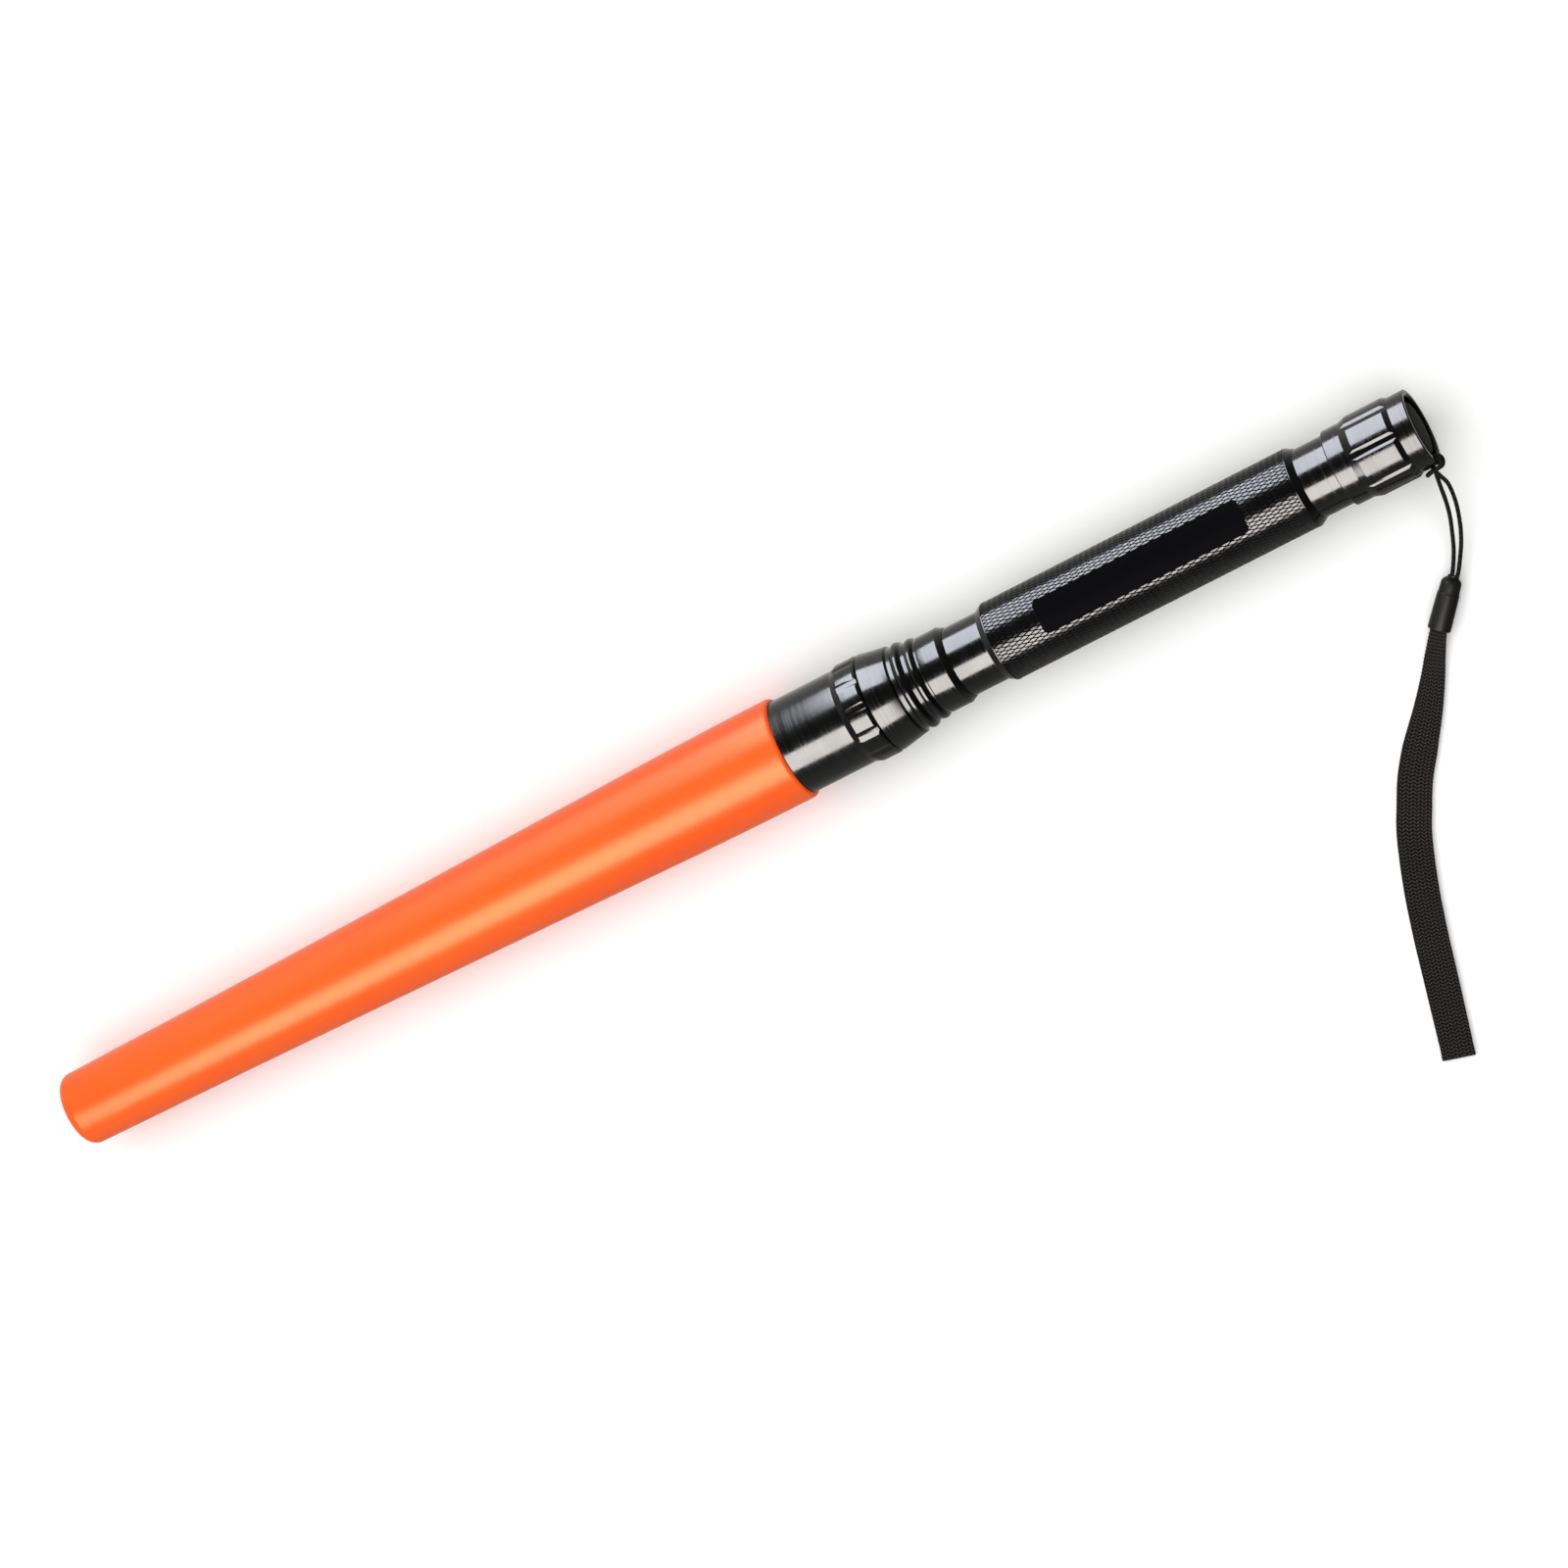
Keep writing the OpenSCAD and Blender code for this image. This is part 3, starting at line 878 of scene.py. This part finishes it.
@dataclass
class Lanyard:
    """The cord loop, the bead and the folded strap. Sizes are in millimetres."""

    cord_d: float = 1.3
    cord_steps: int = 6
    cord_route: tuple[tuple[float, float, float], ...] = (
        (221.5, -44.6, 3.6), (223.4, -42.8, 3.8), (226.8, -37.4, 4.8), (229.2, -32.6, 6.6),
        (231.6, -27, 9), (233, -22.4, 11.4), (233.8, -18.8, 13.4), (234.6, -15.4, 15.1),
        (235.1, -12.8, 15.75), (235.1, -11, 15.75), (235.6, -9.8, 15.6), (236.9, -9.4, 15.2),
        (238.1, -10.2, 14.7), (238.3, -11.5, 14.4), (237.5, -12.8, 14.3), (236, -13.1, 14.3),
        (234.4, -13.2, 14.4), (233, -13.5, 15.1), (232.6, -13.7, 16.45), (233, -13.5, 17.8),
        (234.4, -13.2, 18.5), (236, -13.1, 18.6), (237.5, -12.8, 18.6), (238.3, -11.5, 18.5),
        (238.1, -10.2, 18.2), (236.9, -9.4, 17.7), (235.6, -9.8, 17.3), (235.1, -11, 17.15),
        (235.1, -12.8, 17.15), (235.9, -15.4, 16.7), (236.6, -18.6, 14.9), (235.6, -24, 11.8),
        (233.4, -29.8, 8.4), (231, -34.6, 6.1), (228.6, -38.4, 4.8), (224.9, -43.6, 3.8),
        (222.6, -45.6, 3.6),
    )
    bead_end: tuple[float, float, float] = (212.0, -56.0, 3.6)
    bead_angle: float = 48.0
    bead_len: float = 17.5
    strap_w: float = 10.0
    tape_t: float = 0.8
    tape_steps: int = 32
    tape_columns: int = 32
    relief: float = 0.16
    neck_share: float = 0.46
    neck_len: float = 38.0
    strap_route: tuple[tuple[float, float], ...] = (
        (213, -55), (211, -57), (207, -62.5), (203, -68.5), (197.5, -76), (191, -84), (185, -92),
        (180.5, -100), (176.5, -108), (171.5, -122), (167.5, -136), (164, -150), (158.5, -172),
    )
    floor_gap: float = 0.13
    layer_gap: float = 0.42
    rise: tuple[float, float] = (2.3, 16.0)
    ripple: float = 0.16
    slips: tuple[float, float] = (-0.35, 0.45)
    pinch_len: float = 12.0
    fold_steps: int = 8
    edge_fall: float = 0.06

    def add_cord(self) -> None:
        """Makes the braided cord: one smooth tube along its route."""
        line = [point * MM for point in flowing(self.cord_route, self.cord_steps)]
        curve = bpy.data.curves.new("lanyard_cord_braid", "CURVE")
        curve.dimensions = "3D"
        curve.bevel_depth = self.cord_d / 2 * MM
        curve.bevel_resolution = 4
        curve.use_fill_caps = True
        curve.twist_mode = "MINIMUM"
        spline = curve.splines.new("POLY")
        spline.points.add(len(line) - 1)
        for point, place in zip(spline.points, line):
            point.co = (*place, 1.0)
        pick(bring_in("lanyard_cord_braid", curve))
        bpy.ops.object.convert(target="MESH")
        cord = bpy.context.active_object
        length = sum((b - a).length for a, b in zip(line, line[1:]))
        uv = cord.data.uv_layers[0]
        uv.name = "UVMap"
        for corner in uv.data:
            corner.uv = (corner.uv.y * math.pi * self.cord_d, corner.uv.x * length / MM)
        bpy.ops.object.shade_smooth()
        mount(cord, CORD_NYLON, "tailcap", "lanyard_cord")

    def add_bead(self) -> None:
        """Makes the moulded bead: a stepped, domed barrel with a mouth at each end."""
        tail_r, top_r, dome_r, end = 3.55, 3.15, 2.4, self.bead_len
        outline = [(0.9, 0.0), (0.9, 2.5), (0.15, 2.7), (0.0, tail_r - 0.35), (0.35, tail_r)]
        outline += [(11.2, 3.4), (11.5, 3.22), (13.2, top_r)]
        outline += arc((end - 3.4, top_r - dome_r), dome_r, 80, 15, 8)
        outline += [(end - 0.55, 1.6), (end - 1.6, 1.45), (end - 1.6, 0.0)]
        bead = Turning("lanyard_bead_moulded", eased(outline, 0.25), 64, 0.0).make()
        turn = Matrix.Rotation(math.radians(self.bead_angle), 4, "Z")
        bead.data.transform(Matrix.Translation(Vector(self.bead_end) * MM) @ turn)
        smooth(bead, 40)
        mount(bead, BEAD_PLASTIC, "tailcap", "lanyard_bead")

    def tape_line(self) -> list[tuple[Vector, Vector, float, float]]:
        """Follows the tape from the bead along the floor, round its fold and back on top.

        Returns:
            For each step its middle point, its sideways direction, its half width and its
            length so far, in millimetres.
        """
        route = flowing([(*p, 0.0) for p in self.strap_route], self.tape_steps)
        count = len(route)
        gone = [0.0]
        for a, b in zip(route, route[1:]):
            gone.append(gone[-1] + (b - a).length)
        low, high = self.tape_t / 2 + self.floor_gap, self.tape_t * 1.5 + self.layer_gap
        steps = []
        for layer in (0, 1):
            for k in range(count):
                i = k if layer == 0 else count - 1 - k
                here, ahead, behind = route[i], route[min(i + 1, count - 1)], route[max(i - 1, 0)]
                way = (ahead - behind).normalized()
                side = Vector((-way.y, way.x, 0.0))
                share = gone[i] / gone[-1]
                pinch = min(1.0, self.neck_share + (1 - self.neck_share) * gone[i] / self.neck_len)
                # the tape rises to the bead, and its layers draw together there
                rise = self.rise[0] * max(0.0, 1 - gone[i] / self.rise[1]) ** 2
                closing = 1 - 0.5 * max(0.0, 1 - gone[i] / self.pinch_len)
                # the layers slip a little sideways, and the top one isn't quite flat
                slip = self.slips[layer] * math.sin(math.pi * share) ** 0.5
                wave = math.sin(9 * share + 2.1 * layer) * min(1.0, 6 * (1 - share))
                z = low + ((high - low) * closing + self.ripple * wave) * layer + rise
                steps.append((Vector((here.x, here.y, z)) + slip * side, side, pinch))
            if layer == 0:
                turn = steps[-1]
                forward = (route[-1] - route[-2]).normalized()
                fold_r = (high - low) / 2
                for k in range(1, self.fold_steps):
                    a = math.pi * k / self.fold_steps
                    out = forward * fold_r * math.sin(a)
                    lift = Vector((0.0, 0.0, fold_r * (1 - math.cos(a))))
                    steps.append((turn[0] + out + lift, turn[1], turn[2]))
        long, line = 0.0, []
        for i, (point, side, pinch) in enumerate(steps):
            long += (point - steps[i - 1][0]).length if i else 0.0
            line.append((point, side, self.strap_w / 2 * pinch, long))
        return line

    def weave(self, across: float, along: float) -> float:
        """Height of the tape's chevron weave at a place on it, in millimetres.

        Args:
            across: distance from one edge.
            along: distance from the bead.

        Returns:
            The height, which follows the same rows as the tape's finish.
        """
        rows, yarn, slope = TAPE_NYLON.rows_mm, TAPE_NYLON.yarn_mm, TAPE_NYLON.slope
        rib = rows - abs(across % (2 * rows) - rows)
        crown = 1 - abs(across % rows / rows * 2 - 1)
        wave = 0.5 + 0.5 * math.sin(FULL_TURN * (along + rib * slope) / yarn)
        return self.relief * (wave * (0.5 + 0.5 * crown) - 0.4)

    def add_strap(self) -> None:
        """Makes the woven tape: one strip with rolled edges, doubled back on itself."""
        line = self.tape_line()
        columns = self.tape_columns
        mesh = bpy.data.meshes.new("wrist_strap_woven")
        verts, faces, uvs = [], [], []
        for point, side, half, long in line:
            for c in range(columns + 1):
                across = 2 * c / columns - 1
                lift = self.weave((across + 1) * self.strap_w / 2, long)
                lift -= self.edge_fall * across**2
                verts.append((point + side * half * across + Vector((0, 0, lift))) * MM)
        for i in range(len(line) - 1):
            for c in range(columns):
                a = i * (columns + 1) + c
                faces.append((a, a + 1, a + columns + 2, a + columns + 1))
                for r, q in ((i, c), (i, c + 1), (i + 1, c + 1), (i + 1, c)):
                    uvs.append((self.strap_w * q / columns, line[r][3]))
        mesh.from_pydata(verts, [], faces)
        layer = mesh.uv_layers.new(name="UVMap")
        for corner, uv in zip(layer.data, uvs):
            corner.uv = uv
        strap = bring_in("wrist_strap_woven", mesh)
        thickness = {"thickness": self.tape_t * MM, "offset": 0.0}
        apply_modifier(strap, "thickness", "SOLIDIFY", thickness)
        rolled = {"width": 0.3 * MM, "segments": 3, "limit_method": "ANGLE"}
        rolled["angle_limit"] = math.radians(60)
        apply_modifier(strap, "rolled_edge", "BEVEL", rolled)
        smooth(strap, 50)
        mount(strap, TAPE_NYLON, "tailcap", "wrist_strap")

    def build(self) -> None:
        """Makes the three pieces."""
        self.add_cord()
        self.add_bead()
        self.add_strap()


@dataclass
class Cone:
    """The orange cone: a thin shell with a rounded tip and a rounded lip at its mouth."""

    wall: float = 1.2
    tip_r: float = 11.8
    tip_round: float = 3.6
    lip: float = 1.3
    socket: float = 15.25
    taper: tuple[tuple[float, float], ...] = (
        (-178.0, 12.64), (-114.0, 13.95), (-18.0, 16.1), (4.0, 16.4),
    )

    def build(self) -> None:
        """Turns the cone's shell."""
        tip, mouth = stations("diffuser_cone")
        wide = radius("diffuser_cone")
        seat = stations("bezel")[0] - 0.3
        tip_centre = (tip + 0.5 + self.tip_round, self.tip_r - self.tip_round)
        outside = [(tip, 0.0), (tip + 0.12, 4.0), *arc(tip_centre, self.tip_round, 178, 92, 14)]
        outside += self.taper
        outside += arc((mouth - self.lip, wide - self.lip), self.lip, 90, 0, 8)
        grip_r, hollow = self.socket, self.taper[1:3]
        inside = [(mouth, grip_r + 0.45), (mouth - 0.5, grip_r + 0.05), (seat, grip_r)]
        inside += [(seat - 0.1, hollow[1][1] - self.wall)]
        inside += [(x, r - self.wall) for x, r in reversed(hollow)]
        inside += [*arc(tip_centre, self.tip_round - self.wall, 92, 178, 8), (tip + self.wall, 0.0)]
        cone = Turning("cone_shell_moulded", outside + inside, 160).make()
        smooth(cone, 35)
        mount(cone, CONE_PLASTIC, "cone", "diffuser_cone")


@dataclass
class Bezel:
    """The bezel: a plain barrel with a raised, notched ring at its rear."""

    barrel_r: float = 15.2
    lip_r: float = 12.6
    bore_r: float = 14.25
    ramp_x: float = 43.7
    ring_x: float = 45.9
    notches: int = 12
    notch_phase: float = -5.0

    def build(self) -> None:
        """Turns the bezel and mills its notches."""
        front, rear = stations("bezel")
        ring_r = radius("bezel")
        outline = [
            (front, self.lip_r + 0.6), (front, self.barrel_r), (self.ramp_x, self.barrel_r),
            (self.ring_x, ring_r), (rear - 0.9, ring_r), (rear, ring_r - 0.45),
            (rear, self.bore_r), (front + 5.1, self.bore_r), (front + 5.1, 13.95),
            (front + 1.6, 13.95), (front + 1.6, self.lip_r), (front + 0.6, self.lip_r),
        ]
        bezel = Turning("bezel_turned", eased(outline, 0.25), 180).make()
        slot = Slot(self.ring_x - 0.4, rear + 1.0, 1.1, ring_r - 0.38, 5.4, ring_r + 0.3)
        slot.cut(bezel, self.notches, self.notch_phase)
        smooth(bezel)
        mount(bezel, ANODISED, "bezel", "bezel")


@dataclass
class Head:
    """The head: a spigot inside the bezel, a taper, two rounded rings and a rear collar."""

    front_r: float = 15.85
    small_r: float = 14.3
    collar_r: float = 12.45
    spigot_r: float = 14.2
    spigot_bore: float = 12.2
    socket_r: float = 11.2
    seal_x: float = 49.2

    def build(self) -> None:
        """Turns the head."""
        front, rear = stations("head_shell")
        head_x = stations("bezel")[1] + 0.1
        outline = [
            (front, self.spigot_bore), (front, self.spigot_r), (self.seal_x - 0.65, self.spigot_r),
            (self.seal_x - 0.65, 13.05), (self.seal_x + 0.65, 13.05),
            (self.seal_x + 0.65, self.spigot_r), (head_x, self.spigot_r),
            (head_x, self.front_r - 0.4), (head_x + 0.5, self.front_r), (61.7, self.small_r),
            (62.2, 13.45), (63.1, 13.35),
        ]
        outline += arc((64.9, 12.45), 1.6, 145, 35, 10) + [(66.8, 12.8), (67.6, 12.7)]
        outline += arc((69.2, 11.75), 1.5, 145, 35, 10)
        outline += [
            (70.9, 12.0), (71.6, 12.0), (71.9, self.collar_r), (78.4, self.collar_r),
            (rear, self.collar_r - 1.1), (rear, self.socket_r), (56.9, self.socket_r),
            (56.9, 9.6), (50.0, 9.6), (50.0, self.spigot_bore),
        ]
        head = Turning("head_turned", eased(outline, 0.16), 128).make()
        smooth(head)
        mount(head, ANODISED, "head", "head_shell")


@dataclass
class Tube:
    """The body tube: necks, a diamond-knurled grip and a smooth label panel."""

    neck_r: float = 11.15
    bore_r: float = 9.4
    grip_r: float = 12.7
    grip: tuple[float, float] = (92.3, 199.9)
    chamfer: float = 2.1
    around: int = 66
    rows: int = 26
    knurl_depth: float = 0.2
    knurl_flank: float = 0.17
    seals: tuple[float, float] = (74.0, 213.5)
    thread: tuple[float, float] = (215.0, 218.2)
    panel_x: tuple[float, float] = (110.8, 180.3)
    panel_arc: float = 11.2
    panel_angle: float = -4.0
    panel_corner: float = 1.7
    panel_t: float = 0.4
    panel_proud: float = 0.02
    panel_strips: int = 24

    def neck_outline(self) -> Outline:
        """Outline of everything but the grip's rows, from the grip's rear round to its front."""
        front, rear = stations("body_tube")
        start, end = self.grip
        outline = [(end - self.chamfer, self.grip_r), (end, self.neck_r + 0.35), (end, self.neck_r)]
        outline += self.seal_groove(self.seals[1])
        # the thread's turns are drawn as rings, a millimetre apart
        x = self.thread[0]
        while x < self.thread[1]:
            outline += [(x, self.neck_r), (x + 0.5, self.neck_r - 0.55), (x + 0.95, self.neck_r)]
            x += 1.0
        outline += [(rear - 0.3, self.neck_r), (rear, self.neck_r - 0.4), (rear, self.bore_r)]
        outline += [(front, self.bore_r), (front, self.neck_r - 0.5), (front + 0.5, self.neck_r)]
        outline += self.seal_groove(self.seals[0])
        outline += [(start, self.neck_r), (start, self.neck_r + 0.35)]
        return outline + [(start + self.chamfer, self.grip_r)]

    def seal_groove(self, x: float) -> Outline:
        """Outline of one O-ring groove at a station."""
        half, floor_r = 0.65, 10.05
        floor = [(x - half, floor_r), (x + half, floor_r)]
        return [(x - half, self.neck_r), *floor, (x + half, self.neck_r)]

    def knurl(self, tube: bpy.types.Object) -> None:
        """Raises the diamonds of the knurl from the grip's grid of faces.

        Args:
            tube: the tube, whose grip is a grid of plain faces.
        """
        start = (self.grip[0] + self.chamfer + 0.2) * MM
        end = (self.grip[1] - self.chamfer - 0.2) * MM
        deep = (self.grip_r - self.knurl_depth - 0.05) * MM
        reach = (self.grip_r + 0.05) * MM

        def on_grip(face: bmesh.types.BMFace) -> bool:
            """Says whether a face is one of the grip's own."""
            middle = face.calc_center_median()
            r = math.hypot(middle.y, middle.z - AXIS_H)
            return start < middle.x < end and deep < r < reach

        def between_poked(edge: bmesh.types.BMEdge) -> bool:
            """Says whether an edge of the first grid parts two of the grip's own faces."""
            parted = edge.link_faces
            return edge.seam and len(parted) == 2 and all(on_grip(face) for face in parted)

        def under_panel(face: bmesh.types.BMFace) -> bool:
            """Says whether a face lies wholly under the label panel."""
            first, last = (x * MM for x in self.panel_x)
            half = math.degrees(self.panel_arc / 2 / self.grip_r)
            for corner in face.verts:
                place = corner.co - AXIS
                angle = math.degrees(math.atan2(-place.y, place.z)) - self.panel_angle
                if not first < place.x < last or abs(angle) > half:
                    return False
            return True

        with editing(tube):
            pick_elements(tube, Element.FACE, on_grip)
            bpy.ops.mesh.select_mode(type="FACE")
            bpy.ops.mesh.mark_seam(clear=False)
            bpy.ops.mesh.poke(offset=0.0)
            pick_elements(tube, Element.EDGE, between_poked)
            bpy.ops.mesh.dissolve_edges(use_verts=False)
            bpy.ops.mesh.select_all(action="SELECT")
            bpy.ops.mesh.mark_seam(clear=True)
            raised = pick_elements(
                tube, Element.FACE, lambda face: on_grip(face) and not under_panel(face)
            )
            bpy.ops.mesh.inset(
                thickness=self.knurl_flank * MM, depth=self.knurl_depth * MM, use_individual=True
            )
        log.info("knurl has %d diamonds", raised)

    def roughen_and_shade_grooves(self, tube: bpy.types.Object) -> None:
        """Gives the knurl's flanks and grooves their rougher finish, whose darker colour is painted
        shade.

        Args:
            tube: the knurled tube, already dressed.
        """
        tube.data.materials.append(KNURL_GROOVE_PAINTED_SHADE.build())
        first, last = (x * MM for x in self.grip)
        steepest = math.radians(12)
        for face in tube.data.polygons:
            away = Vector((0.0, face.center.y, face.center.z - AXIS_H))
            if first < face.center.x < last and away.length > (self.grip_r - 0.3) * MM:
                # flanks that lean away from the axis take the rough finish, whose darker colour is
                # painted shade
                if face.normal.angle(away) > steepest:
                    face.material_index = 1

    def panel(self) -> bpy.types.Object:
        """Makes the label panel: a thin rounded plate, wrapped round the grip.

        Returns:
            The panel.
        """
        bpy.ops.object.select_all(action="DESELECT")
        bpy.ops.mesh.primitive_plane_add(size=1.0)
        plate = bpy.context.active_object
        plate.name = plate.data.name = "label_panel"
        long = self.panel_x[1] - self.panel_x[0]
        with editing(plate):
            bpy.ops.mesh.select_all(action="SELECT")
            bpy.ops.transform.resize(
                value=(long * MM, self.panel_arc * MM, 1.0), center_override=(0, 0, 0)
            )
            bpy.ops.mesh.bevel(
                offset=self.panel_corner * MM, segments=6, affect="VERTICES", clamp_overlap=False
            )
            for k in range(1, self.panel_strips):
                bpy.ops.mesh.select_all(action="SELECT")
                y = self.panel_arc * (k / self.panel_strips - 0.5) * MM
                bpy.ops.mesh.bisect(plane_co=(0, y, 0), plane_no=(0, 1, 0))
            bpy.ops.mesh.select_all(action="SELECT")
            bpy.ops.mesh.extrude_region_move(
                TRANSFORM_OT_translate={"value": (0, 0, -self.panel_t * MM)}
            )
            bpy.ops.mesh.select_all(action="SELECT")
            bpy.ops.mesh.normals_make_consistent(inside=False)
        middle = (self.panel_x[0] + self.panel_x[1]) / 2 * MM
        for corner in plate.data.vertices:
            r = (self.grip_r + self.panel_proud) * MM + corner.co.z
            angle = corner.co.y / (self.grip_r * MM)
            corner.co = (middle + corner.co.x, r * math.sin(angle), AXIS_H + r * math.cos(angle))
        plate.data.transform(turned_about_axis(self.panel_angle))
        return plate

    def build(self) -> None:
        """Turns the tube, rolls its knurl and adds the panel."""
        start = self.grip[0] + self.chamfer + 0.3
        end = self.grip[1] - self.chamfer - 0.3
        low = self.grip_r - self.knurl_depth
        rows = [(start + (end - start) * i / self.rows, low) for i in range(self.rows + 1)]
        ends = (start - 0.08, self.grip_r), (end + 0.08, self.grip_r)
        outline = [*self.neck_outline(), ends[0], *rows, ends[1]]
        tube = Turning("body_tube_knurled", outline, self.around).make()
        self.knurl(tube)
        smooth(tube, 14)
        mount(tube, ANODISED, "barrel", "body_tube")
        self.roughen_and_shade_grooves(tube)
        panel = self.panel()
        smooth(panel, 40)
        mount(panel, LABEL_BLACK, "barrel")


@dataclass
class Tailcap:
    """The tailcap: collars, a grooved band, the lanyard hole and the rubber button."""

    front_r: float = 12.175
    rear_r: float = 12.25
    socket_r: float = 11.2
    switch_r: float = 11.0
    rim_r: float = 10.3
    collar_end: float = 215.7
    band: tuple[float, float] = (218.4, 230.4)
    rear_x: float = 232.1
    grooves: int = 8
    groove_phase: float = -6.0
    hole_back: float = 2.4
    hole_r: float = 1.5

    def add_shell(self) -> None:
        """Turns the tailcap's shell, mills its grooves and drills the lanyard hole."""
        front, tail = stations("tailcap_shell")
        band_r = radius("tailcap_shell")
        outline = [
            (front, self.socket_r), (front, self.front_r), (self.collar_end, self.front_r),
            (self.band[0], band_r), (self.band[1], band_r), (self.rear_x, self.rear_r),
            (tail, self.rear_r), (tail, self.rim_r + 0.5), (tail - 0.5, self.rim_r),
            (232.6, self.rim_r), (232.6, self.switch_r), (221.0, self.switch_r),
            (221.0, self.socket_r),
        ]
        shell = Turning("tailcap_turned", eased(outline, 0.4, 4), 144).make()
        slot = Slot(
            self.collar_end - 0.3, self.rear_x + 0.3, 1.35, band_r - 0.62, 4.5, band_r + 0.3
        )
        slot.cut(shell, self.grooves, self.groove_phase)
        bpy.ops.object.select_all(action="DESELECT")
        bpy.ops.mesh.primitive_cylinder_add(
            vertices=40,
            radius=self.hole_r * MM,
            depth=8 * MM,
            location=((tail - self.hole_back) * MM, -12 * MM, AXIS_H),
            rotation=(math.pi / 2, 0.0, 0.0),
        )
        subtract(shell, [bpy.context.active_object])
        smooth(shell)
        mount(shell, ANODISED, "tailcap", "tailcap_shell")

    def add_boot(self) -> None:
        """Turns the rubber button: a broad shallow dome with a fine raised ring."""
        start, top = stations("switch_boot")
        flange = 232.5
        dome = [
            (233.6, 10.2), (234.4, 9.6), (235.2, 9.0), (236.2, 8.6), (236.9, 7.8),
            (237.25, 5.5), (top, 0.0),
        ]
        rounded = [tuple(p)[:2] for p in flowing([(*p, 0.0) for p in dome], 5)]
        rounded[-1] = (top, 0.0)
        outline = [(start, 8.4), (start, 10.9), (flange, 10.9), (flange, 10.2), *rounded]
        outline += [(233.6, 0.0), (233.6, 6.4), (232.6, 8.4)]
        piece = Turning("switch_boot_moulded", self.from_axis(outline), 96).make()
        smooth(piece, 30)
        mount(piece, BOOT_RUBBER, "button", "switch_boot")

    @staticmethod
    def from_axis(outline: Outline) -> Outline:
        """Turns a closed outline's order round so that it starts and ends on the axis."""
        last = max(i for i, p in enumerate(outline) if p[1] == 0.0)
        return outline[last:] + outline[:last]

    def build(self) -> None:
        """Makes the shell and the button."""
        self.add_shell()
        self.add_boot()


@dataclass
class Inside:
    """The pieces inside, which keep their CAD shapes and get their own finishes."""

    def build(self) -> None:
        """Dresses every CAD node that no other piece replaces."""
        finishes = {
            ClearGlass(): ["front_lens"],
            SEAL_RUBBER: ["lens_oring", "bezel_oring", "head_oring", "tail_oring"],
            MIRROR: ["reflector"],
            PHOSPHOR: ["led_emitter"],
            WHITE_BOARD: ["led_board"],
            BRASS: ["lamp_pill"],
            GREEN_BOARD: ["driver_board", "switch_board"],
            GOLD_WIRE: ["pill_spring_inner", "pill_spring_outer", "tail_spring"],
            CELL_WRAP: ["battery_front", "battery_rear"],
            PLAIN_ALUMINIUM: ["switch_retaining_ring"],
            NYLON: ["switch_housing", "switch_plunger"],
            SPACER_PLASTIC: ["switch_spacer"],
        }
        for finish, nodes in finishes.items():
            for node in nodes:
                dress(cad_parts[node], finish)
        log.info("inner pieces dressed")


def main() -> None:
    """Builds the camera, the cords and every sub-assembly."""
    logging.basicConfig(level=logging.INFO, format="%(name)s: %(message)s")
    studio = Studio()
    studio.add_camera()
    for part in (Lanyard(), Cone(), Bezel(), Head(), Tube(), Tailcap(), Inside(), studio):
        part.build()
        log.info("%s done", type(part).__name__)


if __name__ == "__main__":
    main()
